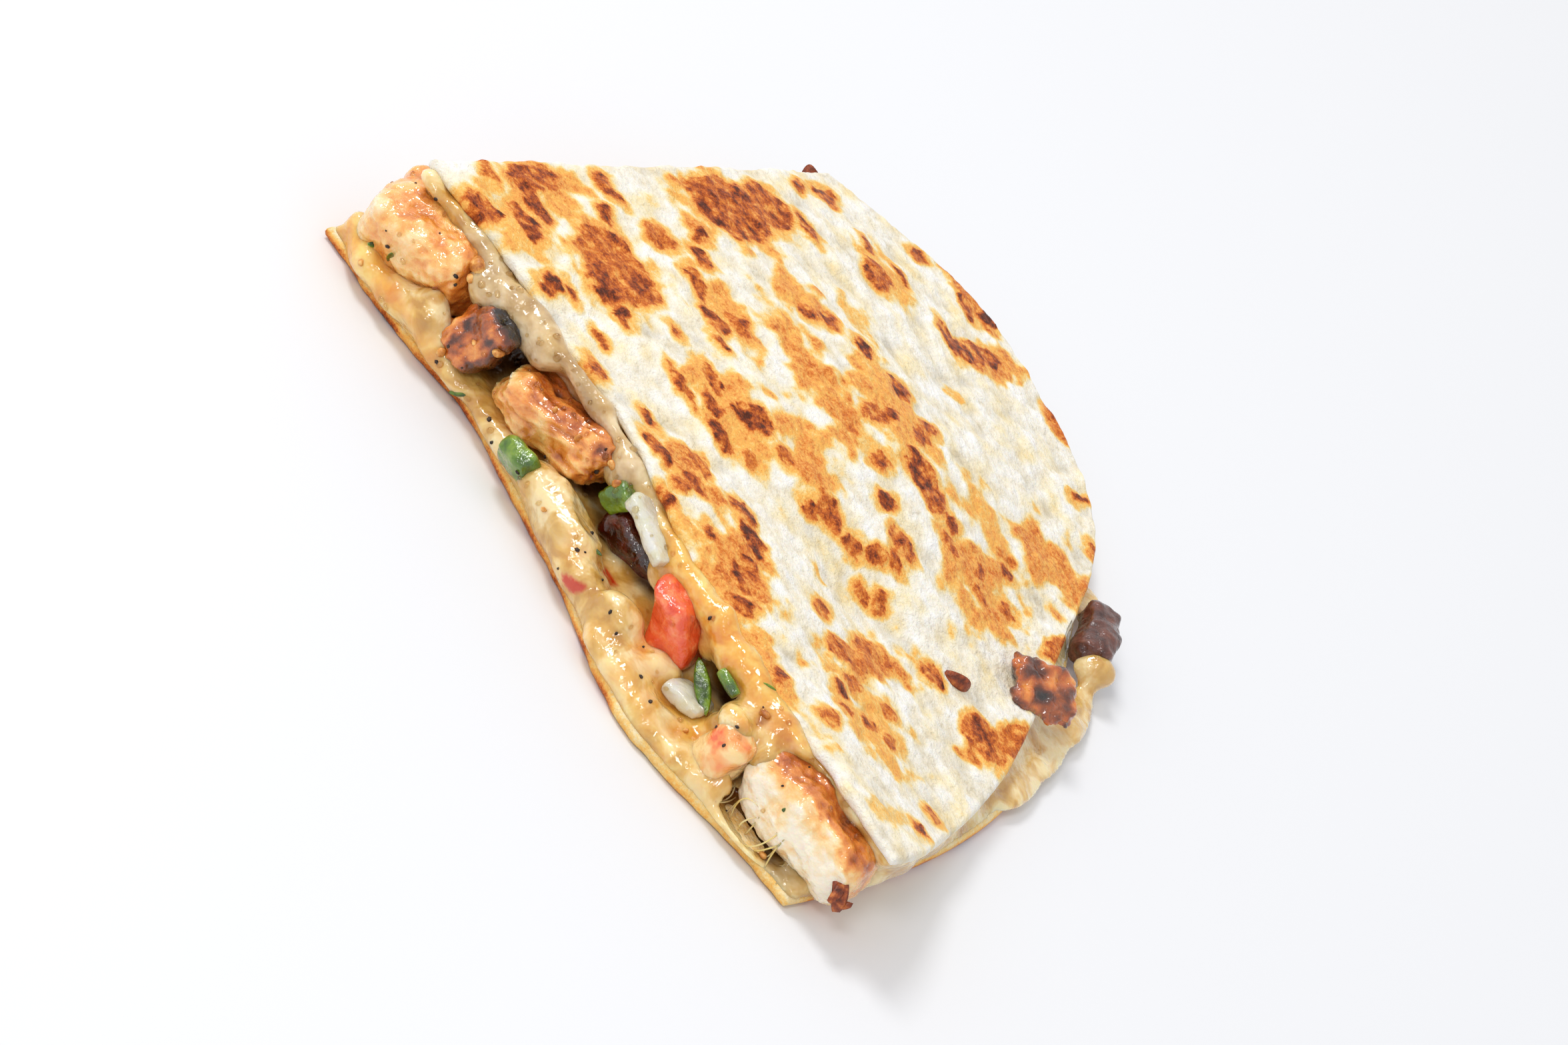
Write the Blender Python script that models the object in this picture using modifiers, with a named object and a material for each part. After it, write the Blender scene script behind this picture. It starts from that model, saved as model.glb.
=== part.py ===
"""A quarter of a grilled chicken quesadilla, cut from two flour tortillas.

Metres, +Z up. The quarter lies flat on its lower tortilla. Its cut corner
points to -X -Y, one cut face looks to -Y and the other to -X. The origin is
under the middle of the piece, on the surface that it rests on.

Places below are measured from the cut corner of the lower tortilla, so
`from_corner` moves each one into the part's own frame.
"""
import math

import bmesh
import bpy
from mathutils import Euler, Matrix, Vector, noise

MM = 0.001

# Driving dimensions
RIM_RADIUS = 124.5 * MM
TORTILLA_THICKNESS = 2.0 * MM
TIP_HEIGHT = 20.0 * MM
HEIGHT_LOSS_ALONG_CUT = 2.5 * MM
RIM_UNDERSIDE = 4.4 * MM
GAP = 0.3 * MM
FILLING_CLEARANCE = 0.45 * MM
POCKET_GROWTH = 0.75 * MM
CHEESE_UNDER_ROOF = 0.48 * MM
CHEESE_BEHIND_UPPER_EDGE = 0.8 * MM
CHEESE_BEHIND_LOWER_EDGE = 1.2 * MM
CORNER_TO_ORIGIN = Vector((-64.2, -58.7, 0.0)) * MM

# The rim is not round: a lobe and the upper near corner reach out, the far end is short
CORNER_OUT = 4.0 * MM
CORNER_SPREAD = math.radians(9.0)
LOBE_OUT = 12.0 * MM
LOBE_ANGLE = math.radians(61.0)
LOBE_SPREAD = math.radians(15.5)
FAR_END_SHORT = 23.0 * MM
FAR_END_ANGLE = math.radians(74.0)
FAR_END_SPREAD = math.radians(20.0)

# The lower tortilla reaches out where melted cheese ran past the upper one
SKIRT_OUT = 7.0 * MM
SKIRT_ANGLE = math.radians(34.0)
SKIRT_SPREAD = math.radians(19.0)
LOWER_RIM_INSET = 1.6 * MM

# The upper tortilla slid back from both cut faces
UPPER_SETBACK_X = 3.5 * MM
UPPER_SETBACK_Y = 4.2 * MM

# Neither knife cut ran straight: place along the edge, half width, way back
LOWER_FRONT_WAVES = ((35.0, 13.0, 3.2), (90.0, 21.0, -8.3))
UPPER_FRONT_WAVES = ((48.0, 24.0, 3.9), (92.0, 20.0, 1.2))
UPPER_SIDE_WAVES = ((60.0, 35.0, 3.0),)

# The rim stays high at both cut corners and is pressed down between them
NEAR_CORNER_RISE = 11.0 * MM
NEAR_CORNER_SPREAD = math.radians(12.0)
FAR_CORNER_RISE = 5.5 * MM
FAR_CORNER_SPREAD = math.radians(13.0)

# The upper tortilla is level up to FALL_START of the way out, then bends down to the rim
FALL_START = 0.45
FALL_LENGTH = 0.60
FALL_SHARPNESS = 1.5
HEIGHT_LOSS_SIDEWAYS = 0.6
CALM_RIM_START = 0.75
CALM_RIM_SHARE = 0.8

# Bulges of the melted cheese where it shows at the cuts
CHEESE_SWELL = 0.9
CHEESE_SWELL_WAVE = 1.6
CHEESE_WAVES_PER_METRE = 90.0

# How finely each piece is divided
UPPER_CELLS = 18
CHEESE_CELLS = 15
OUTLINE_CELLS = 24
WALL_ROWS = 4

FLOUR = (0.86, 0.74, 0.54)
CHEESE = (0.90, 0.74, 0.45)
CHICKEN = (0.76, 0.54, 0.34)
CHARRED = (0.22, 0.10, 0.05)
TOMATO = (0.72, 0.10, 0.04)
ONION = (0.86, 0.84, 0.70)
PEPPER = (0.16, 0.32, 0.05)
MUSHROOM = (0.16, 0.07, 0.06)


def clear_scene():
    for item in list(bpy.data.objects):
        bpy.data.objects.remove(item, do_unlink=True)


def new_collection(name):
    group = bpy.data.collections.new(name)
    bpy.context.scene.collection.children.link(group)
    return group


def food_material(name, colour, roughness):
    material = bpy.data.materials.new(name)
    material.use_nodes = True
    shader = material.node_tree.nodes["Principled BSDF"]
    shader.inputs["Base Color"].default_value = (*colour, 1.0)
    shader.inputs["Roughness"].default_value = roughness
    shader.inputs["Metallic"].default_value = 0.0
    return material


def smoothstep(value):
    value = min(max(value, 0.0), 1.0)
    return value * value * (3.0 - 2.0 * value)


def bell(value, centre, spread):
    return math.exp(-((value - centre) / spread) ** 2)


# ---------------------------------------------------------------- outline
def plain_rim(angle):
    lobe = LOBE_OUT * bell(angle, LOBE_ANGLE, LOBE_SPREAD)
    short = FAR_END_SHORT * smoothstep((angle - FAR_END_ANGLE) / FAR_END_SPREAD)
    return RIM_RADIUS + lobe - short


def upper_rim(angle):
    return plain_rim(angle) + CORNER_OUT * bell(angle, 0.0, CORNER_SPREAD)


def lower_rim(angle):
    skirt = SKIRT_OUT * bell(angle, SKIRT_ANGLE, SKIRT_SPREAD)
    return plain_rim(angle) - LOWER_RIM_INSET + skirt


def quarter_disc(s, t, rim):
    """Point of a quarter disc for a unit square, with the rim at s=1 and t=1."""
    x = s * math.sqrt(1.0 - 0.5 * t * t)
    y = t * math.sqrt(1.0 - 0.5 * s * s)
    radius = rim(math.atan2(y, x)) if s + t > 0.0 else 0.0
    return x * radius, y * radius


def wander(place, waves):
    """How far a cut edge lies back from straight at a place along it."""
    return sum(back * bell(place / MM, centre, width) for centre, width, back in waves) * MM


def lower_point(s, t, inset=0.0):
    """Plan of the lower tortilla: its front cut edge sways in and out."""
    x, y = quarter_disc(s, t, lambda angle: lower_rim(angle) - inset)
    front = inset + wander(x, LOWER_FRONT_WAVES)
    return x + inset * (1.0 - s), y + front * (1.0 - t)


def upper_point(s, t, inset=0.0):
    """Plan of the upper tortilla, set back from the two cut faces."""
    x, y = quarter_disc(s, t, lambda angle: upper_rim(angle) - inset)
    front = UPPER_SETBACK_Y + inset + wander(x, UPPER_FRONT_WAVES)
    side = UPPER_SETBACK_X + inset + wander(y, UPPER_SIDE_WAVES)
    return x + side * (1.0 - s), y + front * (1.0 - t)


# ---------------------------------------------------------------- heights
def rim_underside(angle):
    """Height of the underside of the upper tortilla along its rim."""
    near = NEAR_CORNER_RISE * bell(angle, 0.0, NEAR_CORNER_SPREAD)
    far = FAR_CORNER_RISE * bell(angle, math.pi / 2.0, FAR_CORNER_SPREAD)
    return RIM_UNDERSIDE + near + far


# Dents of the upper tortilla where it sank between the fillings:
# start and end in millimetres from the corner, half width, depth
VALLEYS = (
    ((38.0, 14.0), (84.0, 40.0), 9.0, 1.5),
    ((19.0, 74.0), (46.0, 92.0), 11.0, 1.4),
    ((84.0, 40.0), (97.0, 52.0), 10.0, 1.2),
    ((79.0, 0.0), (100.0, 0.0), 10.0, 2.2),
)
# Swellings over the largest pieces: centre, radius, height
BUMPS = (
    ((12.0, 14.0), 13.0, 0.5),
    ((47.0, 30.0), 15.0, 0.7),
    ((66.0, 70.0), 20.0, 1.2),
    ((112.0, 20.0), 14.0, 0.8),
)


def distance_to_run(x, y, start, end):
    along = Vector((end[0] - start[0], end[1] - start[1]))
    offset = Vector((x - start[0], y - start[1]))
    part = min(max(offset.dot(along) / along.length_squared, 0.0), 1.0)
    return (offset - along * part).length


def upper_underside(x, y):
    """Height of the underside of the upper tortilla above the rest plane."""
    angle = math.atan2(max(y, 0.0), max(x, 1e-6))
    reach = math.hypot(x, y) / upper_rim(angle)
    along = (x + HEIGHT_LOSS_SIDEWAYS * y) / RIM_RADIUS
    crest = TIP_HEIGHT - TORTILLA_THICKNESS - HEIGHT_LOSS_ALONG_CUT * along
    fall = smoothstep((reach - FALL_START) / FALL_LENGTH) ** FALL_SHARPNESS
    height = crest + (rim_underside(angle) - crest) * fall
    shape = 0.0
    for start, end, width, depth in VALLEYS:
        shape -= depth * bell(distance_to_run(x / MM, y / MM, start, end), 0.0, width)
    for centre, radius, rise in BUMPS:
        shape += rise * bell(math.hypot(x / MM - centre[0], y / MM - centre[1]), 0.0, radius)
    calm = CALM_RIM_SHARE * smoothstep((reach - CALM_RIM_START) / (1.0 - CALM_RIM_START))
    return height + shape * MM * (1.0 - calm)


def from_corner(x, y, z):
    return Vector((x, y, z)) + CORNER_TO_ORIGIN


# ---------------------------------------------------------------- building
def add_object(name, mesh_builder, collection, material):
    mesh = bpy.data.meshes.new(name)
    mesh_builder.to_mesh(mesh)
    mesh_builder.free()
    mesh.materials.append(material)
    mesh.shade_smooth()
    mesh.set_sharp_from_angle(angle=math.radians(50.0))
    piece = bpy.data.objects.new(name, mesh)
    collection.objects.link(piece)
    return piece


def sheet_grid(builder, plan, height, cells):
    """Square grid of points laid over the quarter; returns rows of vertices."""
    rows = []
    for j in range(cells + 1):
        row = []
        for i in range(cells + 1):
            x, y = plan(i / cells, j / cells)
            row.append(builder.verts.new(from_corner(x, y, height(x, y))))
        rows.append(row)
    for lower, upper in zip(rows, rows[1:]):
        for i in range(cells):
            builder.faces.new([lower[i], lower[i + 1], upper[i + 1], upper[i]])
    return rows


def border(rows):
    """The outline of a grid of vertices, anticlockwise from the corner."""
    front = rows[0][:-1]
    right = [row[-1] for row in rows[:-1]]
    back = rows[-1][:0:-1]
    left = [row[0] for row in rows[:0:-1]]
    return front + right + back + left


def flat_outline(builder, plan, height, cells):
    """The outline of the quarter at one height, anticlockwise from the corner."""
    steps = [i / cells for i in range(cells)]
    sides = [(s, 0.0) for s in steps] + [(1.0, s) for s in steps]
    sides += [(1.0 - s, 1.0) for s in steps] + [(0.0, 1.0 - s) for s in steps]
    return [builder.verts.new(from_corner(*plan(s, t), height)) for s, t in sides]


def thicken(piece):
    """Solidify an open sheet upwards to the thickness of the bread."""
    shell = piece.modifiers.new("thickness", "SOLIDIFY")
    shell.thickness = TORTILLA_THICKNESS
    shell.offset = 1.0


def lower_tortilla(collection, material):
    """The bread that the quarter rests on: flat, with a bowed front edge."""
    builder = bmesh.new()
    builder.faces.new(flat_outline(builder, lower_point, 0.0, OUTLINE_CELLS))
    thicken(add_object("lower_tortilla", builder, collection, material))


def upper_tortilla(collection, material):
    """The bread draped over the filling, pressed down along the rim."""
    builder = bmesh.new()
    sheet_grid(builder, upper_point, upper_underside, UPPER_CELLS)
    thicken(add_object("upper_tortilla", builder, collection, material))


def cheese_top_plan(s, t):
    return upper_point(s, t, CHEESE_BEHIND_UPPER_EDGE)


def cheese_bottom_plan(s, t):
    return lower_point(s, t, CHEESE_BEHIND_LOWER_EDGE)


def cheese_top_height(x, y):
    return upper_underside(x, y) - CHEESE_UNDER_ROOF


def melted_cheese(collection, material):
    """The layer that fills the sandwich, lofted from lower to upper outline."""
    floor = TORTILLA_THICKNESS + GAP
    tallest = TIP_HEIGHT - 2.0 * TORTILLA_THICKNESS
    builder = bmesh.new()
    top = sheet_grid(builder, cheese_top_plan, cheese_top_height, CHEESE_CELLS)
    upper_loop = border(top)
    lower_loop = flat_outline(builder, cheese_bottom_plan, floor, CHEESE_CELLS)
    builder.faces.new(lower_loop[::-1])
    loops = [lower_loop]
    for row in range(1, WALL_ROWS):
        share = row / WALL_ROWS
        ring = []
        for low, high in zip(lower_loop, upper_loop):
            place = low.co.lerp(high.co, share)
            room = (high.co.z - low.co.z) / tallest
            outward = Vector((low.co.x - high.co.x, low.co.y - high.co.y, 0.0))
            if outward.length > 0.0:
                outward.normalize()
            wave = noise.noise(place * CHEESE_WAVES_PER_METRE)
            swell = CHEESE_SWELL + CHEESE_SWELL_WAVE * wave
            ring.append(builder.verts.new(place + outward * swell * MM * room))
        loops.append(ring)
    loops.append(upper_loop)
    count = len(lower_loop)
    for below, above in zip(loops, loops[1:]):
        for i in range(count):
            j = (i + 1) % count
            builder.faces.new([below[i], below[j], above[j], above[i]])
    return add_object("melted_cheese", builder, collection, material)


# The ball that a chunk is rounded towards is a little larger than its cube's
# half side, and the waves of its skin are about one half side long
BALL_RADIUS = 1.12
SKIN_WAVES = 1.1
SEED_STEP = Vector((7.3, 3.1, 0.0))


def chunk_mesh(size, turn, roundness, roughness, cuts, seed):
    """A knife-cut dice: a divided cube, part rounded, with an uneven skin."""
    builder = bmesh.new()
    bmesh.ops.create_cube(builder, size=2.0)
    bmesh.ops.subdivide_edges(builder, edges=builder.edges[:], cuts=cuts, use_grid_fill=True)
    for vert in builder.verts:
        ball = vert.co.normalized() * BALL_RADIUS
        place = vert.co.lerp(ball, roundness)
        wave = noise.noise(place * SKIN_WAVES + SEED_STEP * seed)
        place *= 1.0 + roughness * wave
        vert.co = Vector((place.x * size[0], place.y * size[1], place.z * size[2])) * 0.5 * MM
    rotation = Euler([math.radians(angle) for angle in turn]).to_matrix().to_4x4()
    bmesh.ops.transform(builder, matrix=rotation, verts=builder.verts)
    return builder


def roof_over(x, y):
    """Top of the room for a filling: open air beyond the upper rim."""
    if math.hypot(x, y) > upper_rim(math.atan2(y, x)):
        return RIM_RADIUS
    return upper_underside(x, y) - FILLING_CLEARANCE


def keep_between_tortillas(builder, centre):
    """Squash a chunk's upper half under the roof and its lower half onto the floor."""
    highest = max(vert.co.z for vert in builder.verts)
    lowest = min(vert.co.z for vert in builder.verts)
    floor = TORTILLA_THICKNESS + FILLING_CLEARANCE - centre.z
    for vert in builder.verts:
        if vert.co.z > 0.0:
            roof = roof_over(vert.co.x + centre.x, vert.co.y + centre.y) - centre.z
            vert.co.z *= min(1.0, roof / highest)
        else:
            vert.co.z *= min(1.0, floor / lowest)


def grown(builder, amount):
    """A copy with every point moved outwards, to cut a clear pocket."""
    copy = builder.copy()
    copy.normal_update()
    for vert in copy.verts:
        vert.co += vert.normal * amount
    return copy


def chunk(name, centre, size, turn, collection, cutters, material, **shape):
    """One piece of filling, and the cutter of the pocket that it sits in."""
    middle = Vector(centre) * MM
    builder = chunk_mesh(size, turn, **shape)
    keep_between_tortillas(builder, middle)
    pocket = grown(builder, POCKET_GROWTH)
    place = Matrix.Translation(middle + CORNER_TO_ORIGIN)
    piece = add_object(name, builder, collection, material)
    piece.matrix_world = place
    cutter = add_object(name + "_pocket", pocket, cutters, material)
    cutter.matrix_world = place
    mark_as_cutter(cutter)
    return cutter


def mark_as_cutter(cutter):
    cutter.hide_render = True
    cutter.display_type = "WIRE"


def hollow(name, centre, size, cutters, material):
    """A rounded cutter for an open gap in the melted cheese."""
    builder = bmesh.new()
    bmesh.ops.create_icosphere(builder, subdivisions=2, radius=0.5 * MM)
    bmesh.ops.scale(builder, vec=Vector(size), verts=builder.verts)
    cutter = add_object(name, builder, cutters, material)
    cutter.location = Vector(centre) * MM + CORNER_TO_ORIGIN
    mark_as_cutter(cutter)
    return cutter


def subtract_all(piece, cutters):
    """Cut every pocket; the exact solver loses the body where so many meet."""
    for cutter in cutters:
        cut = piece.modifiers.new(cutter.name, "BOOLEAN")
        cut.operation = "DIFFERENCE"
        cut.solver = "MANIFOLD"
        cut.object = cutter


def keep_largest_body(piece):
    """Apply the cuts and drop crumbs that they cut loose."""
    bpy.context.view_layer.update()
    depsgraph = bpy.context.evaluated_depsgraph_get()
    mesh = bpy.data.meshes.new_from_object(piece.evaluated_get(depsgraph))
    builder = bmesh.new()
    builder.from_mesh(mesh)
    bodies = []
    left = set(builder.verts)
    while left:
        start = left.pop()
        body = {start}
        front = [start]
        while front:
            vert = front.pop()
            for edge in vert.link_edges:
                other = edge.other_vert(vert)
                if other not in body:
                    body.add(other)
                    front.append(other)
        left -= body
        bodies.append(body)
    bodies.sort(key=len, reverse=True)
    loose = [vert for body in bodies[1:] for vert in body]
    bmesh.ops.delete(builder, geom=loose, context="VERTS")
    builder.to_mesh(mesh)
    builder.free()
    piece.modifiers.clear()
    piece.data = mesh


# Shapes of the fillings, as cut by a knife
MEAT = {"roundness": 0.45, "roughness": 0.22, "cuts": 3}
DICE = {"roundness": 0.28, "roughness": 0.10, "cuts": 2}
SLIVER = {"roundness": 0.35, "roughness": 0.14, "cuts": 2}

# name, centre in mm from the corner, size in mm, turn in degrees, look, shape
FILLINGS = (
    ("chicken_tip", (11.4, 8.4, 10.2), (19.3, 16, 16), (8, -12, 8), "chicken", MEAT),
    ("chicken_charred", (27.6, 6.2, 9.4), (8.0, 9.5, 12), (0, 12, 10), "charred", MEAT),
    ("chicken_middle", (44.8, 9.4, 11.6), (20.5, 13, 10), (0, -9, 4), "chicken", MEAT),
    ("chicken_end", (115.0, 7.8, 9.0), (20.5, 15, 14), (0, 4, 3), "chicken", MEAT),
    ("tomato_front", (80.4, 4.4, 10.8), (7.5, 8, 14), (4, -26, 8), "tomato", DICE),
    ("tomato_deep", (66.0, 11.4, 7.4), (12, 7, 4.6), (0, 8, 8), "tomato", DICE),
    ("tomato_end", (101.4, -1.4, 7.6), (5.0, 4.5, 8.0), (0, 12, -8), "tomato", DICE),
    ("onion_front", (68.2, 5.0, 14.4), (11.5, 4.5, 2.8), (0, 8, -6), "onion", SLIVER),
    ("onion_low", (90.6, 1.4, 5.6), (7, 5, 2.2), (0, -6, 10), "onion", SLIVER),
    ("pepper_front", (47.4, -0.1, 5.8), (6.4, 3.2, 4.6), (38, -14, -6), "pepper", DICE),
    ("pepper_strip", (60.2, 6.2, 12.0), (3.8, 3, 4.8), (0, 20, 15), "pepper", SLIVER),
    ("chicken_side_near", (9.2, 33.0, 9.8), (12, 21, 12), (0, 6, 6), "chicken", MEAT),
    ("tomato_side", (8.4, 52.0, 9.0), (9, 9, 9), (12, -8, 20), "tomato", DICE),
    ("chicken_side_middle", (9.4, 69.0, 9.0), (12, 17, 11), (6, -6, -8), "charred", MEAT),
    ("onion_side", (6.6, 81.4, 6.6), (5, 5.4, 3), (0, 10, 6), "onion", SLIVER),
    ("chicken_side_far", (9.4, 93.0, 7.4), (12, 14, 8), (0, 4, 12), "chicken", MEAT),
    ("mushroom_rim", (91.6, 99.2, 5.0), (13, 5.4, 4.6), (0, 0, -51), "mushroom", MEAT),
)

# Open gaps between the fillings: name, centre and size in mm
HOLLOWS = (
    ("gap_by_tomato", (65.0, 1.0, 9.8), (19, 22, 4.4)),
    ("gap_by_end", (91.5, -1.0, 8.4), (9, 14, 3.2)),
)

# A crisp scrap fried onto the upper tortilla near the rim. The bread slopes
# there, so it measures a little more than its thickness straight up.
SCRAP_CENTRE = Vector((101.0, 73.5)) * MM
SCRAP_SIZE = (9.5, 11.5, 3.2)
SCRAP_TURN = (0, 22, -38)
SCRAP_RISE = 1.6 * MM
SLOPE_FACTOR = 1.12


def crisp_scrap(collection, material):
    builder = chunk_mesh(SCRAP_SIZE, SCRAP_TURN, seed=31, **MEAT)
    x, y = SCRAP_CENTRE
    base = upper_underside(x, y) + TORTILLA_THICKNESS
    middle = Vector((x, y, base + SCRAP_RISE))
    for vert in builder.verts:
        place = vert.co + middle
        bread = TORTILLA_THICKNESS * SLOPE_FACTOR
        skin = upper_underside(place.x, place.y) + bread + GAP
        place.z = max(place.z, skin)
        vert.co = place - middle
    piece = add_object("crisp_scrap", builder, collection, material)
    piece.location = middle + CORNER_TO_ORIGIN
    return piece


def build():
    clear_scene()
    food = new_collection("quesadilla_quarter")
    cutters = new_collection("cutters")
    looks = {
        "flour": food_material("flour_tortilla", FLOUR, 0.75),
        "cheese": food_material("melted_cheese", CHEESE, 0.35),
        "chicken": food_material("grilled_chicken", CHICKEN, 0.5),
        "charred": food_material("charred_chicken", CHARRED, 0.5),
        "tomato": food_material("tomato", TOMATO, 0.2),
        "onion": food_material("onion", ONION, 0.3),
        "pepper": food_material("green_pepper", PEPPER, 0.3),
        "mushroom": food_material("mushroom", MUSHROOM, 0.45),
    }
    lower_tortilla(food, looks["flour"])
    upper_tortilla(food, looks["flour"])
    cheese = melted_cheese(food, looks["cheese"])
    pockets = []
    for seed, (name, centre, size, turn, look, shape) in enumerate(FILLINGS, start=1):
        pocket = chunk(name, centre, size, turn, food, cutters, looks[look], seed=seed, **shape)
        pockets.append(pocket)
    for name, centre, size in HOLLOWS:
        pockets.append(hollow(name, centre, size, cutters, looks["cheese"]))
    subtract_all(cheese, pockets)
    keep_largest_body(cheese)
    crisp_scrap(food, looks["charred"])


build()
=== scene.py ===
import math

import bmesh
import bpy
import numpy as np
from mathutils import Euler, Matrix, Vector, noise
from mathutils.bvhtree import BVHTree


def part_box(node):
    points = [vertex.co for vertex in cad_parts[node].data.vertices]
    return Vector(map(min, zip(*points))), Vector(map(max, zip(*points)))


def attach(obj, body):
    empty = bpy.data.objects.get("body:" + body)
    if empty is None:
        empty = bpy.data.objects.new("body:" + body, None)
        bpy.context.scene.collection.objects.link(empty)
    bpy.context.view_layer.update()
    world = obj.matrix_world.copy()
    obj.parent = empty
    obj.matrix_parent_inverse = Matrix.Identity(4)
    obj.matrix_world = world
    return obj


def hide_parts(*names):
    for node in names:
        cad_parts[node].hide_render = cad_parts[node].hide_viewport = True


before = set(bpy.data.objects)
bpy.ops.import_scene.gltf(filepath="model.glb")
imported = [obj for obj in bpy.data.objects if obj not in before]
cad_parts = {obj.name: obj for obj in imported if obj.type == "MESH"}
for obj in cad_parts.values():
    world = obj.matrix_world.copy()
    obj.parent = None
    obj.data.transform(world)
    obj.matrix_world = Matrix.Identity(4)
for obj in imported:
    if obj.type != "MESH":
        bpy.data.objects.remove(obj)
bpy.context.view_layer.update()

# ------------------------------------------------------------- table and light
# The wedge lies on a plain white table, lit by a lamp high on its left, by a weaker one before its
# front cut and by the pale room all round. Places in this file are in millimetres from the corner
# of the lower bread, where the two knife cuts meet.
MM = 0.001
# How far the lower bread bows out in front of that corner
FRONT_BOW = 8.19
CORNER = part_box("lower_tortilla")[0] + Vector((0.0, FRONT_BOW * MM, 0.0))
EYE = (391.9, -698.9, 497.7)
EYE_AIM = (64.0, 46.0, 6.0)
EYE_UP = (-0.7700, 0.0875, 0.6320)
LENS_MM = 150.0
SENSOR_MM = 36.0
LAMP_FROM = (-620.0, -120.0, 930.0)
LAMP_WIDTH = 340.0
LAMP_WATTS = 5.2
GLINT_FROM = (150.0, -900.0, 900.0)
GLINT_WIDTH = 280.0
GLINT_WATTS = 2.8
ROOM_STRENGTH = 0.77
TABLE_WIDTH = 6000.0
TABLE_BELOW = 0.2
TABLE_CLOUDS = 400.0


def seen(red, green, blue):
    """A colour as it looks on a screen, 0 to 255, as the shader's own numbers."""
    shares = [channel / 255.0 for channel in (red, green, blue)]
    return tuple(c / 12.92 if c <= 0.04045 else ((c + 0.055) / 1.055) ** 2.4 for c in shares) + (1.0,)


def in_frame(place):
    """A place in millimetres from the corner, in the frame's metres."""
    return CORNER + Vector(place) * MM


def look_matrix(place, aim, up):
    """Placement of a camera or lamp that looks from place towards aim."""
    back = (Vector(place) - Vector(aim)).normalized()
    right = Vector(up).cross(back).normalized()
    turn = Matrix((right, back.cross(right), back)).transposed().to_4x4()
    return Matrix.Translation(in_frame(place)) @ turn


def add_node(tree, kind, inputs=(), **settings):
    """One shader node; inputs pairs a socket's name or number with a value or an output."""
    made = tree.nodes.new(kind)
    for key, value in settings.items():
        setattr(made, key, value)
    for key, value in inputs:
        if isinstance(value, bpy.types.NodeSocket):
            tree.links.new(value, made.inputs[key])
        else:
            made.inputs[key].default_value = value
    return made


def new_material(name, **sockets):
    """A shader with its fixed values set, ready for its procedural nodes."""
    material = bpy.data.materials.new(name)
    material.use_nodes = True
    shader = material.node_tree.nodes["Principled BSDF"]
    for key, value in sockets.items():
        shader.inputs[key.replace("_", " ")].default_value = value
    return material, material.node_tree, shader


def speckle(tree, size, detail=2.0, roughness=0.5, distortion=0.0):
    """Noise from 0 to 1 whose features are about size millimetres across."""
    place = add_node(tree, "ShaderNodeTexCoord").outputs["Object"]
    inputs = [("Vector", place), ("Scale", 1.0 / (size * MM)), ("Detail", detail),
              ("Roughness", roughness), ("Distortion", distortion)]
    return add_node(tree, "ShaderNodeTexNoise", inputs).outputs[0]


def add_table():
    builder = bmesh.new()
    bmesh.ops.create_grid(builder, x_segments=8, y_segments=8, size=TABLE_WIDTH * MM / 2.0)
    mesh = bpy.data.meshes.new("table")
    builder.to_mesh(mesh)
    builder.free()
    table = bpy.data.objects.new("table", mesh)
    table.location = in_frame((0.0, 0.0, -TABLE_BELOW))
    bpy.context.scene.collection.objects.link(table)
    material, tree, shader = new_material("white_table", Roughness=0.6, Specular_IOR_Level=0.2)
    wash = add_node(tree, "ShaderNodeValToRGB", [("Fac", speckle(tree, TABLE_CLOUDS))])
    wash.color_ramp.elements[0].color = seen(234, 235, 238)
    wash.color_ramp.elements[1].color = seen(238, 239, 241)
    tree.links.new(wash.outputs[0], shader.inputs["Base Color"])
    mesh.materials.append(material)


def add_lamp(name, place, width, watts):
    lamp = bpy.data.lights.new(name, "AREA")
    lamp.shape = "DISK"
    lamp.size = width * MM
    lamp.energy = watts
    holder = bpy.data.objects.new(name, lamp)
    holder.matrix_world = look_matrix(place, EYE_AIM, (0.0, 1.0, 0.0))
    bpy.context.scene.collection.objects.link(holder)


def add_room():
    world = bpy.data.worlds.new("pale_room")
    world.use_nodes = True
    backdrop = world.node_tree.nodes["Background"]
    backdrop.inputs["Color"].default_value = seen(252, 252, 253)
    backdrop.inputs["Strength"].default_value = ROOM_STRENGTH
    bpy.context.scene.world = world


def add_camera():
    eye = bpy.data.cameras.new("camera")
    eye.lens = LENS_MM
    eye.sensor_width = SENSOR_MM
    eye.clip_start = 0.01
    holder = bpy.data.objects.new("camera", eye)
    holder.matrix_world = look_matrix(EYE, EYE_AIM, EYE_UP)
    bpy.context.scene.collection.objects.link(holder)
    bpy.context.scene.camera = holder


add_camera()
add_table()
add_lamp("lamp", LAMP_FROM, LAMP_WIDTH, LAMP_WATTS)
add_lamp("glint", GLINT_FROM, GLINT_WIDTH, GLINT_WATTS)
add_room()
bpy.context.scene.view_settings.view_transform = "Standard"


# ------------------------------------------------------------- lower bread
# A soft wheat-flour flatbread, rolled about 2 mm thick and fried in the pan. A knife cut it with
# the rest, and the cheese ran out over its front and rim.
RIM_RADIUS = 124.5
BREAD_THICKNESS = 2.0
# Each of these is a depth in millimetres, the angle round the rim and the width in angle
LOBE = (12.0, math.radians(61.0), math.radians(15.5))
FAR_END_SHORT = (23.0, math.radians(74.0), math.radians(20.0))
SKIRT = (7.0, math.radians(34.0), math.radians(19.0))
LOWER_RIM_INSET = 1.6
# Waves of a cut edge: centre, half width and how far it stands back
LOWER_FRONT_WAVES = ((35.0, 13.0, 3.2), (90.0, 21.0, -8.3))
KNIFE_ROUNDING = 0.7
EDGE_ROWS = 5
LOWER_TOP_CELLS = 80
LOWER_BOTTOM_CELLS = 40
LOWER_EDGE_CELLS = 240


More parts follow.
